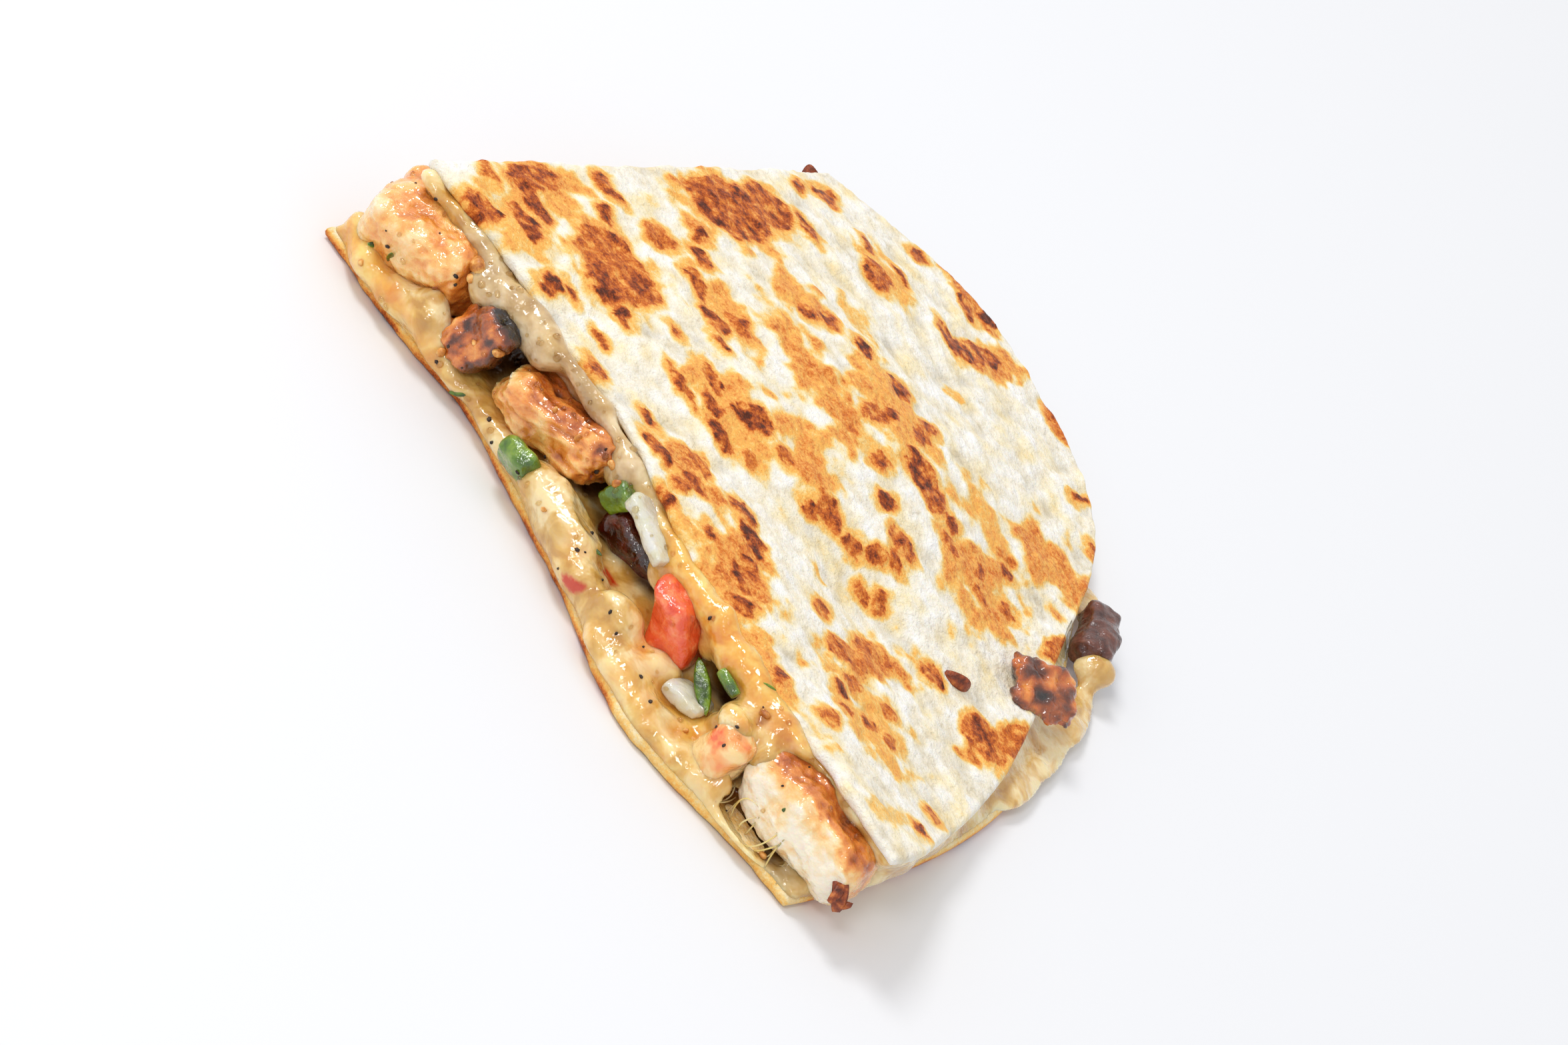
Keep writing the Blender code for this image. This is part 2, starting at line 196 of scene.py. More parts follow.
def bell(value, centre, spread):
    """A smooth hump of height 1 about a centre."""
    return np.exp(-((value - centre) / spread) ** 2)


def smoothstep(value):
    value = np.clip(value, 0.0, 1.0)
    return value * value * (3.0 - 2.0 * value)


def past(value, start, reach):
    """0 up to start, then a smooth rise to 1 over reach."""
    return smoothstep((value - start) / reach)


def short_of(value, end, reach):
    """1 well short of end, then a smooth fall over reach to 0 at it."""
    return smoothstep((end - value) / reach)


def grain(x, y, z, size, seed=0.0, octaves=1):
    """Smooth noise from about -1 to 1 at every point, with waves of size millimetres."""
    places = zip(x / size + seed * 7.7, y / size - seed * 3.3, z / size + seed)
    if octaves == 1:
        return np.array([noise.noise(place) for place in places])
    return np.array([noise.fractal(place, 1.0, 2.0, octaves) for place in places])


def plain_rim(angle):
    """Radius of the round before the knife, which bulges at its lobe and falls short far round."""
    lobe = LOBE[0] * bell(angle, LOBE[1], LOBE[2])
    short = FAR_END_SHORT[0] * past(angle, FAR_END_SHORT[1], FAR_END_SHORT[2])
    return RIM_RADIUS + lobe - short


def lower_rim(angle):
    """Radius of the lower bread, which shows past the upper one at its skirt."""
    return plain_rim(angle) - LOWER_RIM_INSET + SKIRT[0] * bell(angle, SKIRT[1], SKIRT[2])


def quarter_disc(s, t, rim):
    """Points of a quarter disc for a unit square, with the rim at s=1 and t=1."""
    x = s * np.sqrt(1.0 - 0.5 * t * t)
    y = t * np.sqrt(1.0 - 0.5 * s * s)
    radius = rim(np.arctan2(y, np.maximum(x, 1e-9)))
    return x * radius, y * radius


def wander(place, waves):
    """How far a cut edge lies back from straight at a place along it."""
    return sum(back * bell(place, centre, width) for centre, width, back in waves)


def ragged(place, seed):
    """Small unevenness of a cut edge, in millimetres."""
    return 0.35 * grain(place, 0.0 * place, 0.0 * place, 6.0, seed) + \
        0.25 * grain(place, 0.0 * place, 0.0 * place, 2.2, seed + 0.5)


def lower_point(s, t, inset):
    """Plan of the lower bread, drawn in from its outline by an inset."""
    x, y = quarter_disc(s, t, lambda angle: lower_rim(angle) - inset)
    front = inset + wander(x, LOWER_FRONT_WAVES) + ragged(x, 1.0)
    return x + inset * (1.0 - s), y + front * (1.0 - t)


def border_square(cells):
    """The unit square's outline, anticlockwise from the corner."""
    step = np.arange(cells) / cells
    one = np.ones(cells)
    s = np.concatenate([step, one, 1.0 - step, 0.0 * one])
    t = np.concatenate([0.0 * one, step, one, 1.0 - step])
    return s, t


def grid_square(cells):
    s, t = np.meshgrid(np.arange(cells + 1) / cells, np.arange(cells + 1) / cells)
    return s.ravel(), t.ravel()


def grid_quads(cells, first, flip):
    """Faces of a square grid whose first vertex has the number first."""
    i, j = np.meshgrid(np.arange(cells), np.arange(cells))
    a = (first + j * (cells + 1) + i).ravel()
    quads = np.stack([a, a + 1, a + cells + 2, a + cells + 1], axis=1)
    return (quads[:, ::-1] if flip else quads).tolist()


def grid_border(cells, first):
    """Vertex numbers round a grid, in the order of border_square."""
    step = np.arange(cells)
    wide = cells + 1
    return np.concatenate([first + step, first + cells + step * wide,
                           first + cells * wide + cells - step, first + (cells - step) * wide])


def stitch(inner, outer, flip):
    """Faces between a coarse loop of vertices and one with a whole multiple of its points."""
    share = len(outer) // len(inner)
    faces = []
    for i in range(len(inner)):
        fine = [outer[(i * share + k) % len(outer)] for k in range(share + 1)]
        face = [inner[(i + 1) % len(inner)], inner[i]] + fine
        faces.append(face[::-1] if flip else face)
    return faces


def mesh_object(name, points, faces):
    """A piece from points in millimetres from the corner."""
    mesh = bpy.data.meshes.new(name)
    mesh.from_pydata(np.asarray(CORNER) + np.asarray(points) * MM, [], faces)
    mesh.update()
    mesh.shade_smooth()
    piece = bpy.data.objects.new(name, mesh)
    bpy.context.scene.collection.objects.link(piece)
    return piece


def bread_sheet(name, plan, top, bottom, top_cells, bottom_cells, edge_cells):
    """A closed sheet of bread: a grid above, a grid below and a rounded edge between."""
    s, t = grid_square(top_cells)
    x, y = plan(s, t, KNIFE_ROUNDING)
    points = [np.stack([x, y, top(x, y)], axis=1)]
    faces = grid_quads(top_cells, 0, False)
    loop = grid_border(top_cells, 0)
    count = len(x)
    s, t = border_square(edge_cells)
    for row in range(1, EDGE_ROWS):
        lean = math.pi / 2.0 - math.pi * row / EDGE_ROWS
        x, y = plan(s, t, KNIFE_ROUNDING * (1.0 - math.cos(lean)))
        high, low = top(x, y), bottom(x, y)
        z = (high + low) / 2.0 + (high - low) / 2.0 * math.sin(lean)
        points.append(np.stack([x, y, z], axis=1))
        ring = np.arange(count, count + len(x))
        faces += stitch(loop, ring, False)
        loop = ring
        count += len(x)
    s, t = grid_square(bottom_cells)
    x, y = plan(s, t, KNIFE_ROUNDING)
    points.append(np.stack([x, y, bottom(x, y)], axis=1))
    faces += grid_quads(bottom_cells, count, True)
    faces += stitch(grid_border(bottom_cells, count), loop, True)
    return mesh_object(name, np.concatenate(points), faces)


def mesh_points(piece):
    """The piece's points in millimetres from the corner, as three arrays."""
    flat = np.empty(len(piece.data.vertices) * 3)
    piece.data.vertices.foreach_get("co", flat)
    return ((flat.reshape(-1, 3) - np.asarray(CORNER)) / MM).T


def mesh_normals(piece):
    """The direction in which the skin faces at every point, as three arrays."""
    flat = np.empty(len(piece.data.vertices) * 3)
    piece.data.vertices.foreach_get("normal", flat)
    return flat.reshape(-1, 3).T


def set_points(piece, x, y, z):
    flat = np.asarray(CORNER) + np.stack([x, y, z], axis=1) * MM
    piece.data.vertices.foreach_set("co", flat.ravel())
    piece.data.update()


def store(piece, name, values):
    """Keep a number for every point, for the material to read."""
    layer = piece.data.attributes.new(name, "FLOAT", "POINT")
    layer.data.foreach_set("value", np.asarray(values, dtype=np.float32))


def coat(piece, material):
    """Give a piece one material all over."""
    piece.data.materials.clear()
    piece.data.materials.append(material)


def stand_for(piece, node):
    """Put a finished piece in the place of the frame's plain one."""
    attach(piece, "root")
    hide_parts(node)


def lower_top(x, y):
    return BREAD_THICKNESS + 0.12 * grain(x, y, 0.0 * x, 5.0, seed=2.0)


def lower_underside(x, y):
    return 0.0 * x


def ramp(tree, factor, stops):
    """A colour ramp from stops of place and colour."""
    made = add_node(tree, "ShaderNodeValToRGB", [("Fac", factor)])
    elements = made.color_ramp.elements
    while len(elements) < len(stops):
        elements.new(0.5)
    for element, (place, colour) in zip(elements, stops):
        element.position = place
        element.color = colour
    return made.outputs[0]


def grey(value):
    return (value, value, value, 1.0)


def calculate(tree, operation, a, b=0.0, clamp=False):
    made = add_node(tree, "ShaderNodeMath", [(0, a), (1, b)], operation=operation, use_clamp=clamp)
    return made.outputs[0]


def blend_colours(tree, factor, a, b, kind="MIX"):
    inputs = [(0, factor), (6, a), (7, b)]
    return add_node(tree, "ShaderNodeMix", inputs, data_type="RGBA", blend_type=kind).outputs[2]


def point_value(tree, name):
    return add_node(tree, "ShaderNodeAttribute", attribute_name=name).outputs["Fac"]


def bump(tree, shader, height, distance, strength=1.0, socket="Normal"):
    """Fine relief, distance millimetres deep, on the skin or on the coat over it."""
    inputs = [("Height", height), ("Distance", distance * MM), ("Strength", strength)]
    made = add_node(tree, "ShaderNodeBump", inputs)
    tree.links.new(made.outputs[0], shader.inputs[socket])


def bread_material():
    """Pale flour bread that goes from gold to dark brown where it was fried, with painted shade in the low
    places of its relief.
    """
    material, tree, shader = new_material(
        "griddled_bread", Subsurface_Weight=0.12, Subsurface_Scale=0.6 * MM, Specular_IOR_Level=0.22)
    shader.inputs["Subsurface Radius"].default_value = (1.0, 0.7, 0.4)
    dough = ramp(tree, speckle(tree, 3.4, 6.0, 0.72), (
        (0.34, seen(236, 226, 204)), (0.46, seen(250, 244, 230)), (0.58, seen(255, 253, 248))))
    # Painted shade: low places of the relief darken the dough towards grey-cream
    relief_shade = ramp(tree, point_value(tree, "relief_shade"), (
        (0.0, seen(208, 202, 190)), (0.38, seen(245, 242, 234)), (0.65, seen(255, 255, 255))))
    dough = blend_colours(tree, 1.0, dough, relief_shade, "MULTIPLY")
    toast = point_value(tree, "toast")
    cooked = calculate(tree, "MULTIPLY", toast, 3.0, True)
    dough = blend_colours(tree, cooked, dough, seen(252, 247, 238))
    coarse = calculate(tree, "SUBTRACT", speckle(tree, 1.7, 6.0, 0.78), 0.5)
    fine = calculate(tree, "SUBTRACT", speckle(tree, 0.5, 3.0, 0.7), 0.5)
    mottle = calculate(tree, "ADD", coarse, calculate(tree, "MULTIPLY", fine, 0.9))
    depth = calculate(tree, "MINIMUM", toast, 0.5)
    swing = calculate(tree, "MULTIPLY", calculate(tree, "MULTIPLY", mottle, 1.9), depth)
    browned = calculate(tree, "ADD", toast, swing)
    colour = ramp(tree, browned, (
        (0.00, seen(255, 255, 255)), (0.07, seen(255, 244, 212)), (0.16, seen(255, 220, 146)),
        (0.26, seen(254, 194, 98)), (0.38, seen(246, 174, 90)), (0.50, seen(228, 136, 54)),
        (0.62, seen(208, 108, 34)), (0.78, seen(160, 70, 20)), (1.00, seen(82, 32, 8))))
    whole = blend_colours(tree, 1.0, dough, colour, "MULTIPLY")
    tree.links.new(whole, shader.inputs["Base Color"])
    gloss = ramp(tree, browned, ((0.0, grey(0.62)), (0.6, grey(0.38))))
    tree.links.new(gloss, shader.inputs["Roughness"])
    pores = calculate(tree, "ADD", speckle(tree, 0.9, 4.0, 0.65), speckle(tree, 2.6, 3.0, 0.6, 0.5))
    bump(tree, shader, pores, 0.6, 0.9)
    return material


BREAD = bread_material()
lower = bread_sheet("bottom_bread", lower_point, lower_top, lower_underside,
                    LOWER_TOP_CELLS, LOWER_BOTTOM_CELLS, LOWER_EDGE_CELLS)
x, y, z = mesh_points(lower)
edge_brown = 0.42 + 0.45 * grain(x, y, z, 6.0, seed=4.0) + 0.2 * grain(x, y, z, 2.0, seed=4.2)
edge_brown *= 1.0 - 0.75 * past(x, 82.0, 16.0) * (y < 4.0)
soaked = 0.13 + 0.08 * grain(x, y, z, 3.0, seed=4.7)
store(lower, "toast", np.clip(soaked + edge_brown * short_of(z, 1.7, 1.2), 0.0, 1.0))
# Random tone for the painted relief shade, mostly near white
store(lower, "relief_shade", 0.8 + 0.2 * grain(x, y, z, 4.0, seed=4.5))
coat(lower, BREAD)
stand_for(lower, "lower_tortilla")


# ------------------------------------------------------------- melted cheese
# Grated cheese that melted into one stringy, glossy layer. It fills the room up to the upper bread,
# whose shape is worked out here too, sags out of both cuts and ran past the rim. Oil and chicken
# juice stain it yellow where it lies low.
TIP_HEIGHT = 20.0
HEIGHT_LOSS_ALONG_CUT = 2.5
HEIGHT_LOSS_SIDEWAYS = 0.6
RIM_UNDERSIDE = 4.4
NEAR_CORNER_RISE = (11.0, math.radians(12.0))
FAR_CORNER_RISE = (5.5, math.radians(13.0))
CORNER_OUT = (4.0, math.radians(9.0))
UPPER_SETBACK_X = 3.5
UPPER_SETBACK_Y = 4.2
UPPER_FRONT_WAVES = ((48.0, 24.0, 3.9), (92.0, 20.0, 1.2))
UPPER_SIDE_WAVES = ((60.0, 35.0, 3.0),)
# Valleys of the upper bread: start, end, half width and depth
VALLEYS = (
    ((38.0, 14.0), (84.0, 40.0), 9.0, 1.5),
    ((19.0, 74.0), (46.0, 92.0), 11.0, 1.4),
    ((84.0, 40.0), (97.0, 52.0), 10.0, 1.2),
    ((79.0, 0.0), (100.0, 0.0), 10.0, 2.2),
)
# Places where the filling lifts it: centre, radius and height
SWELLINGS = (
    ((12.0, 14.0), 13.0, 0.5),
    ((47.0, 30.0), 15.0, 0.7),
    ((66.0, 70.0), 20.0, 1.2),
    ((112.0, 20.0), 14.0, 0.8),
)


def upper_rim(angle):
    """Radius of the upper bread, whose front corner reaches out over the chicken."""
    return plain_rim(angle) + CORNER_OUT[0] * bell(angle, 0.0, CORNER_OUT[1])


def upper_point(s, t, inset):
    """Plan of the upper bread, drawn in from its outline by an inset."""
    x, y = quarter_disc(s, t, lambda angle: upper_rim(angle) - inset)
    front = UPPER_SETBACK_Y + inset + wander(x, UPPER_FRONT_WAVES) + 1.4 * ragged(x, 3.0)
    side = UPPER_SETBACK_X + inset + wander(y, UPPER_SIDE_WAVES) + 1.2 * ragged(y, 5.0)
    return x + side * (1.0 - s), y + front * (1.0 - t)


def distance_to_run(x, y, start, end):
    """Distance from a straight run between two places."""
    along = np.subtract(end, start)
    share = ((x - start[0]) * along[0] + (y - start[1]) * along[1]) / (along @ along)
    share = np.clip(share, 0.0, 1.0)
    return np.hypot(x - start[0] - share * along[0], y - start[1] - share * along[1])


def upper_underside(x, y):
    """Height of the underside of the upper bread above the table."""
    angle = np.arctan2(np.maximum(y, 0.0), np.maximum(x, 1e-6))
    reach = np.hypot(x, y) / upper_rim(angle)
    along = (x + HEIGHT_LOSS_SIDEWAYS * y) / RIM_RADIUS
    crest = TIP_HEIGHT - BREAD_THICKNESS - HEIGHT_LOSS_ALONG_CUT * along
    rim = RIM_UNDERSIDE + NEAR_CORNER_RISE[0] * bell(angle, 0.0, NEAR_CORNER_RISE[1])
    rim = rim + FAR_CORNER_RISE[0] * bell(angle, math.pi / 2.0, FAR_CORNER_RISE[1])
    height = crest + (rim - crest) * past(reach, 0.45, 0.60) ** 1.5
    shape = 0.0 * x
    for start, end, width, depth in VALLEYS:
        shape -= depth * bell(distance_to_run(x, y, start, end), 0.0, width)
    for centre, radius, rise in SWELLINGS:
        shape += rise * bell(np.hypot(x - centre[0], y - centre[1]), 0.0, radius)
    return height + shape * (1.0 - 0.8 * past(reach, 0.75, 0.25))


CHEESE_CELLS = 80
CHEESE_VOXEL = 0.54
CHEESE_FLOOR = 1.3
TALLEST_OPENING = 16.0
CHEESE_UNDER_UPPER = 0.6
CHEESE_PAST_LOWER = 0.25
FIRST_SOFTENING = 16
LAST_SOFTENING = 5
KEPT_INSIDE = 0.40

# The wall of cheese seen at a cut: share of the way down, share of its depth
WALL = ((0.0, 0.0), (0.07, 0.03), (0.16, 0.10), (0.26, 0.34), (0.36, 0.72), (0.48, 1.0),
        (0.60, 1.0), (0.70, 0.80), (0.79, 0.45), (0.87, 0.16), (0.94, 0.03), (1.0, 0.0))
# How far the wall stands back between floor and roof: place, half width, depth
FRONT_DEPTHS = ((11.0, 11.0, 6.0), (28.0, 6.0, 5.5), (45.0, 12.0, 6.0), (62.0, 8.0, 8.5),
                (80.0, 6.0, 5.0), (91.5, 5.0, 7.0), (114.0, 13.0, 6.5))
SIDE_DEPTHS = ((11.0, 8.0, 5.0), (33.0, 12.0, 5.0), (52.0, 6.0, 4.5), (69.0, 10.0, 5.0),
               (81.0, 4.0, 4.5), (93.0, 9.0, 5.0))
LEAST_DEPTH = 1.6
CUT_REACH = 7.0

# Lumps, folds and drapes of the cheese: centre, size and turn in degrees
CHEESE_LUMPS = (
    # along the front cut, from the tip
    ((3.0, 2.0, 4.4), (6.4, 5.0, 5.4), (0, 10, 0)),
    ((9.0, 0.4, 3.6), (10.0, 5.4, 5.0), (0, -8, 0)),
    ((15.6, 0.6, 4.6), (9.0, 6.4, 6.4), (0, -20, 0)),
    ((20.4, 1.4, 6.2), (8.4, 6.4, 8.4), (0, -24, 4)),
    ((25.0, 2.2, 4.6), (9.4, 6.4, 6.4), (0, 16, 0)),
    ((29.4, 3.2, 3.2), (9.4, 6.0, 4.0), (0, 10, 0)),
    ((23.4, 5.4, 14.0), (7.0, 5.0, 5.4), (0, 14, 0)),
    ((18.6, 7.4, 17.0), (9.0, 4.0, 4.0), (0, 12, 0)),
    ((28.4, 6.2, 14.6), (7.0, 4.0, 7.0), (0, 20, 0)),
    ((34.6, 7.6, 15.4), (9.4, 4.4, 6.0), (0, 10, 0)),
    ((34.0, 5.0, 3.2), (14.0, 6.4, 4.0), (0, 6, 0)),
    ((43.0, 3.8, 3.0), (20.0, 6.4, 3.6), (0, 0, 0)),
    ((30.0, 7.4, 15.4), (16.0, 3.8, 6.0), (0, 4, 2)),
    ((46.0, 8.4, 16.4), (26.0, 3.4, 4.2), (0, 3, 2)),
    ((57.6, 8.0, 14.0), (9.0, 4.4, 8.0), (0, 18, 4)),
    ((53.0, 1.6, 5.8), (12.0, 7.0, 6.0), (0, -6, 0)),
    ((59.0, 1.2, 5.0), (20.0, 8.6, 9.0), (0, 4, -4)),
    ((67.0, -0.6, 4.0), (15.0, 8.0, 6.4), (0, 4, -5)),
    ((67.6, 8.4, 13.4), (16.0, 3.6, 5.0), (0, 6, 0)),
    ((73.6, 6.2, 12.0), (6.4, 4.0, 9.0), (0, -18, 0)),
    ((76.6, -1.6, 4.8), (10.4, 7.4, 7.4), (0, 10, 0)),
    ((72.6, -1.4, 3.6), (8.0, 7.0, 5.4), (0, 0, 0)),
    ((84.0, 0.8, 5.0), (9.0, 6.4, 5.0), (0, -20, 0)),
    ((85.6, 5.6, 13.4), (6.4, 4.4, 10.0), (0, -22, 0)),
    ((91.0, 4.6, 13.4), (13.0, 4.6, 6.4), (0, -6, 0)),
    ((82.0, -4.0, 3.4), (18.0, 8.4, 4.8), (0, 0, 0)),
    ((92.0, -4.4, 3.0), (20.0, 8.0, 4.0), (0, 0, 4)),
    ((101.0, -3.4, 3.2), (14.0, 6.0, 4.0), (0, 0, 6)),
    ((97.8, 2.4, 8.8), (5.4, 5.4, 11.0), (0, 12, 0)),
    ((105.4, 1.6, 10.6), (5.0, 5.0, 6.0), (0, 30, 0)),
    ((104.6, 4.8, 12.8), (8.0, 5.0, 4.4), (0, 10, 0)),
    ((103.4, 3.2, 12.2), (4.4, 5.4, 5.0), (0, 20, 0)),
    ((100.0, -1.2, 11.4), (6.4, 4.4, 4.4), (0, 24, 0)),
    ((104.6, -2.4, 4.6), (4.4, 4.4, 5.0), (0, 0, 0)),
    ((110.0, -2.6, 2.3), (16.0, 4.8, 2.0), (0, 0, 10)),
    # a film over the edge of the upper bread
    ((6.6, 4.6, 17.4), (6.0, 3.6, 3.0), (0, 6, 0)),
    ((73.0, 6.6, 14.6), (16.0, 4.6, 4.6), (0, 2, -3)),
    ((84.0, 5.6, 14.4), (16.0, 5.6, 4.8), (0, 2, -3)),
    ((94.0, 5.0, 14.2), (16.0, 5.6, 4.6), (0, 0, 0)),
    ((103.0, 4.6, 14.4), (12.0, 4.4, 3.6), (0, 0, 0)),
    # along the side cut
    ((1.8, 8.0, 3.8), (4.4, 14.0, 4.4), (0, 0, 0)),
    ((1.6, 22.0, 3.6), (5.4, 22.0, 5.0), (0, 0, 0)),
    ((2.4, 45.0, 4.4), (6.4, 14.0, 7.0), (8, 0, 0)),
    ((5.6, 43.0, 14.2), (4.0, 18.0, 5.4), (-6, 0, 0)),
    ((2.8, 59.0, 3.8), (6.4, 14.0, 5.6), (0, 0, 0)),
    ((6.6, 58.0, 13.4), (4.0, 14.0, 5.4), (6, 0, 0)),
    ((2.6, 84.0, 3.8), (5.6, 14.0, 5.4), (0, 0, 0)),
    ((5.6, 81.0, 12.0), (4.4, 12.0, 5.0), (0, 0, 0)),
    ((3.6, 101.0, 4.0), (6.0, 13.0, 5.0), (0, 0, 0)),
    # past the rim
    ((97.0, 94.6, 4.0), (7.0, 6.0, 5.4), (0, 0, 40)),
    ((102.6, 86.0, 1.7), (6.4, 20.0, 2.2), (0, 0, 30)),
    ((108.0, 74.0, 1.7), (6.4, 20.0, 2.0), (0, 0, 24)),
    ((84.0, 107.6, 2.0), (12.0, 5.0, 2.2), (0, 0, -38)),
    ((112.4, 62.0, 1.7), (6.4, 20.0, 2.0), (0, 0, 16)),
)
# Open gaps between cheese and filling: centre and size
CHEESE_GAPS = (
    ((62.6, 6.0, 9.4), (16.0, 14.0, 4.4)),
    ((91.6, 1.0, 8.8), (8.6, 12.0, 3.4)),
    ((29.6, 3.6, 9.6), (9.0, 8.0, 7.0)),
    ((20.8, 3.6, 11.6), (3.4, 7.0, 4.4)),
    ((35.4, 3.4, 6.6), (9.0, 8.0, 2.6)),
    ((111.0, -0.2, 3.2), (16.0, 8.0, 2.8)),
    ((3.0, 75.0, 11.6), (9.0, 10.0, 3.4)),
    ((2.0, 45.6, 9.0), (8.0, 4.4, 6.0)),
    # bubbles that burst
    ((86.4, -7.8, 4.6), (2.6, 2.4, 2.0)),
    ((7.6, -2.4, 5.4), (2.0, 2.0, 1.6)),
    ((96.6, -7.4, 4.0), (1.8, 2.0, 1.6)),
    ((62.0, -3.2, 7.4), (1.8, 1.8, 1.6)),
)
# Deep crevices beside the fillings, dark with painted shade: place along the cut, half width
FRONT_CREVICES = ((20.8, 2.4), (31.0, 3.4), (54.0, 2.6), (63.0, 6.0), (72.0, 3.0), (91.5, 4.6),
                  (103.0, 2.0))
SIDE_CREVICES = ((20.0, 2.0), (46.4, 2.2), (58.6, 2.0), (76.6, 3.4), (88.0, 2.0))


def wall_depth(x, y):
    """How far the wall stands back at a place on the outline, deepest by the fillings."""
    front = LEAST_DEPTH + sum(depth * bell(x, place, width) for place, width, depth in FRONT_DEPTHS)
    side = LEAST_DEPTH + sum(depth * bell(y, place, width) for place, width, depth in SIDE_DEPTHS)
    return np.maximum(front * bell(y, 0.0, CUT_REACH), side * bell(x, 0.0, CUT_REACH))


def cheese_layer():
    """The layer between the breads: a roof and a floor with a wall set back between."""
    s, t = grid_square(CHEESE_CELLS)
    x, y = upper_point(s, t, CHEESE_UNDER_UPPER)
    top = np.stack([x, y, upper_underside(x, y) + 0.1], axis=1)
    x, y = lower_point(s, t, -CHEESE_PAST_LOWER)
    bottom = np.stack([x, y, 0.0 * x + CHEESE_FLOOR], axis=1)
    points = [top, bottom]
    count = len(top)
    faces = grid_quads(CHEESE_CELLS, 0, False) + grid_quads(CHEESE_CELLS, count, True)
    high = top[grid_border(CHEESE_CELLS, 0)]
    s, t = border_square(CHEESE_CELLS)
    room = (high[:, 2] - CHEESE_FLOOR) / TALLEST_OPENING
    depth = wall_depth(*quarter_disc(s, t, plain_rim)) * room
    loops = [grid_border(CHEESE_CELLS, 0)]
    first = 2 * count
    for down, share in WALL[1:-1]:
        inset = share * depth
        upper_x, upper_y = upper_point(s, t, CHEESE_UNDER_UPPER + inset)
        lower_x, lower_y = lower_point(s, t, inset - CHEESE_PAST_LOWER)
        sweep = past(down, 0.35, 0.65)
        x = upper_x + (lower_x - upper_x) * sweep
        y = upper_y + (lower_y - upper_y) * sweep
        z = high[:, 2] + (CHEESE_FLOOR - high[:, 2]) * down
        points.append(np.stack([x, y, z], axis=1))
        loops.append(np.arange(first, first + len(x)))
        first += len(x)
    loops.append(grid_border(CHEESE_CELLS, count))
    for above, below in zip(loops, loops[1:]):
        faces += stitch(above, below, False)
    return mesh_object("cheese", np.concatenate(points), faces)


def ball_mesh(centre, size, turn=(0, 0, 0), detail=3):
    """A stretched, turned ball as points and faces, in millimetres."""
    builder = bmesh.new()
    bmesh.ops.create_icosphere(builder, subdivisions=detail, radius=0.5)
    rotation = Euler([math.radians(angle) for angle in turn]).to_matrix()
    points = [Vector(centre) + rotation @ Vector(v.co * Vector(size)) for v in builder.verts]
    faces = [[v.index for v in face.verts] for face in builder.faces]
    builder.free()
    return np.array(points), faces


def joined(name, parts):
    """One object from several sets of points and faces."""
    points, faces, first = [], [], 0
    for part_points, part_faces in parts:
        points.append(part_points)
        faces += [[first + corner for corner in face] for face in part_faces]
        first += len(part_points)
    return mesh_object(name, np.concatenate(points), faces)


def settle(piece):
    """Turn a piece's modifiers into its mesh."""
    bpy.context.view_layer.update()
    depsgraph = bpy.context.evaluated_depsgraph_get()
    mesh = bpy.data.meshes.new_from_object(piece.evaluated_get(depsgraph))
    piece.modifiers.clear()
    piece.data = mesh
    mesh.shade_smooth()


def merge_volume(piece, voxel, smoothing):
    """Fuse all that overlaps in a piece into one skin, and soften it."""
    fuse = piece.modifiers.new("fuse", "REMESH")
    fuse.mode = "VOXEL"
    fuse.voxel_size = voxel * MM
    soften = piece.modifiers.new("soften", "SMOOTH")
    soften.factor = 0.5
    soften.iterations = smoothing
    settle(piece)


def push_out(piece, amount):
    """Move every point along its normal by an amount in millimetres."""
    x, y, z = mesh_points(piece)
    nx, ny, nz = mesh_normals(piece)
    set_points(piece, x + nx * amount, y + ny * amount, z + nz * amount)


def cut_gaps(piece, gaps):
    """Open round hollows in a piece, from their centres and sizes."""
    cutter = joined("gaps", [ball_mesh(centre, size) for centre, size in gaps])
    cut = piece.modifiers.new("gaps", "BOOLEAN")
    cut.operation = "DIFFERENCE"
    cut.solver = "MANIFOLD"
    cut.object = cutter
    settle(piece)
    bpy.data.objects.remove(cutter)


def hollowness(piece, rounds):
    """How far each point lies below the softened skin, in millimetres; negative on ridges."""
    ends = np.empty(len(piece.data.edges) * 2, dtype=np.int64)
    piece.data.edges.foreach_get("vertices", ends)
    a, b = ends.reshape(-1, 2).T
    start = np.stack(mesh_points(piece))
    count = start.shape[1]
    neighbours = np.bincount(a, minlength=count) + np.bincount(b, minlength=count)
    soft = start.copy()
    for _ in range(rounds):
        total = [np.bincount(a, axis[b], count) + np.bincount(b, axis[a], count) for axis in soft]
        soft = 0.5 * soft + 0.5 * np.stack(total) / np.maximum(neighbours, 1)
    return ((soft - start) * mesh_normals(piece)).sum(axis=0)


def wet_film(tree, shader, size, depth):
    """Ripples in the film of fat and juice, which break its shine into glints."""
    bump(tree, shader, speckle(tree, size, 2.0, 0.5, 0.5), depth, 1.0, "Coat Normal")


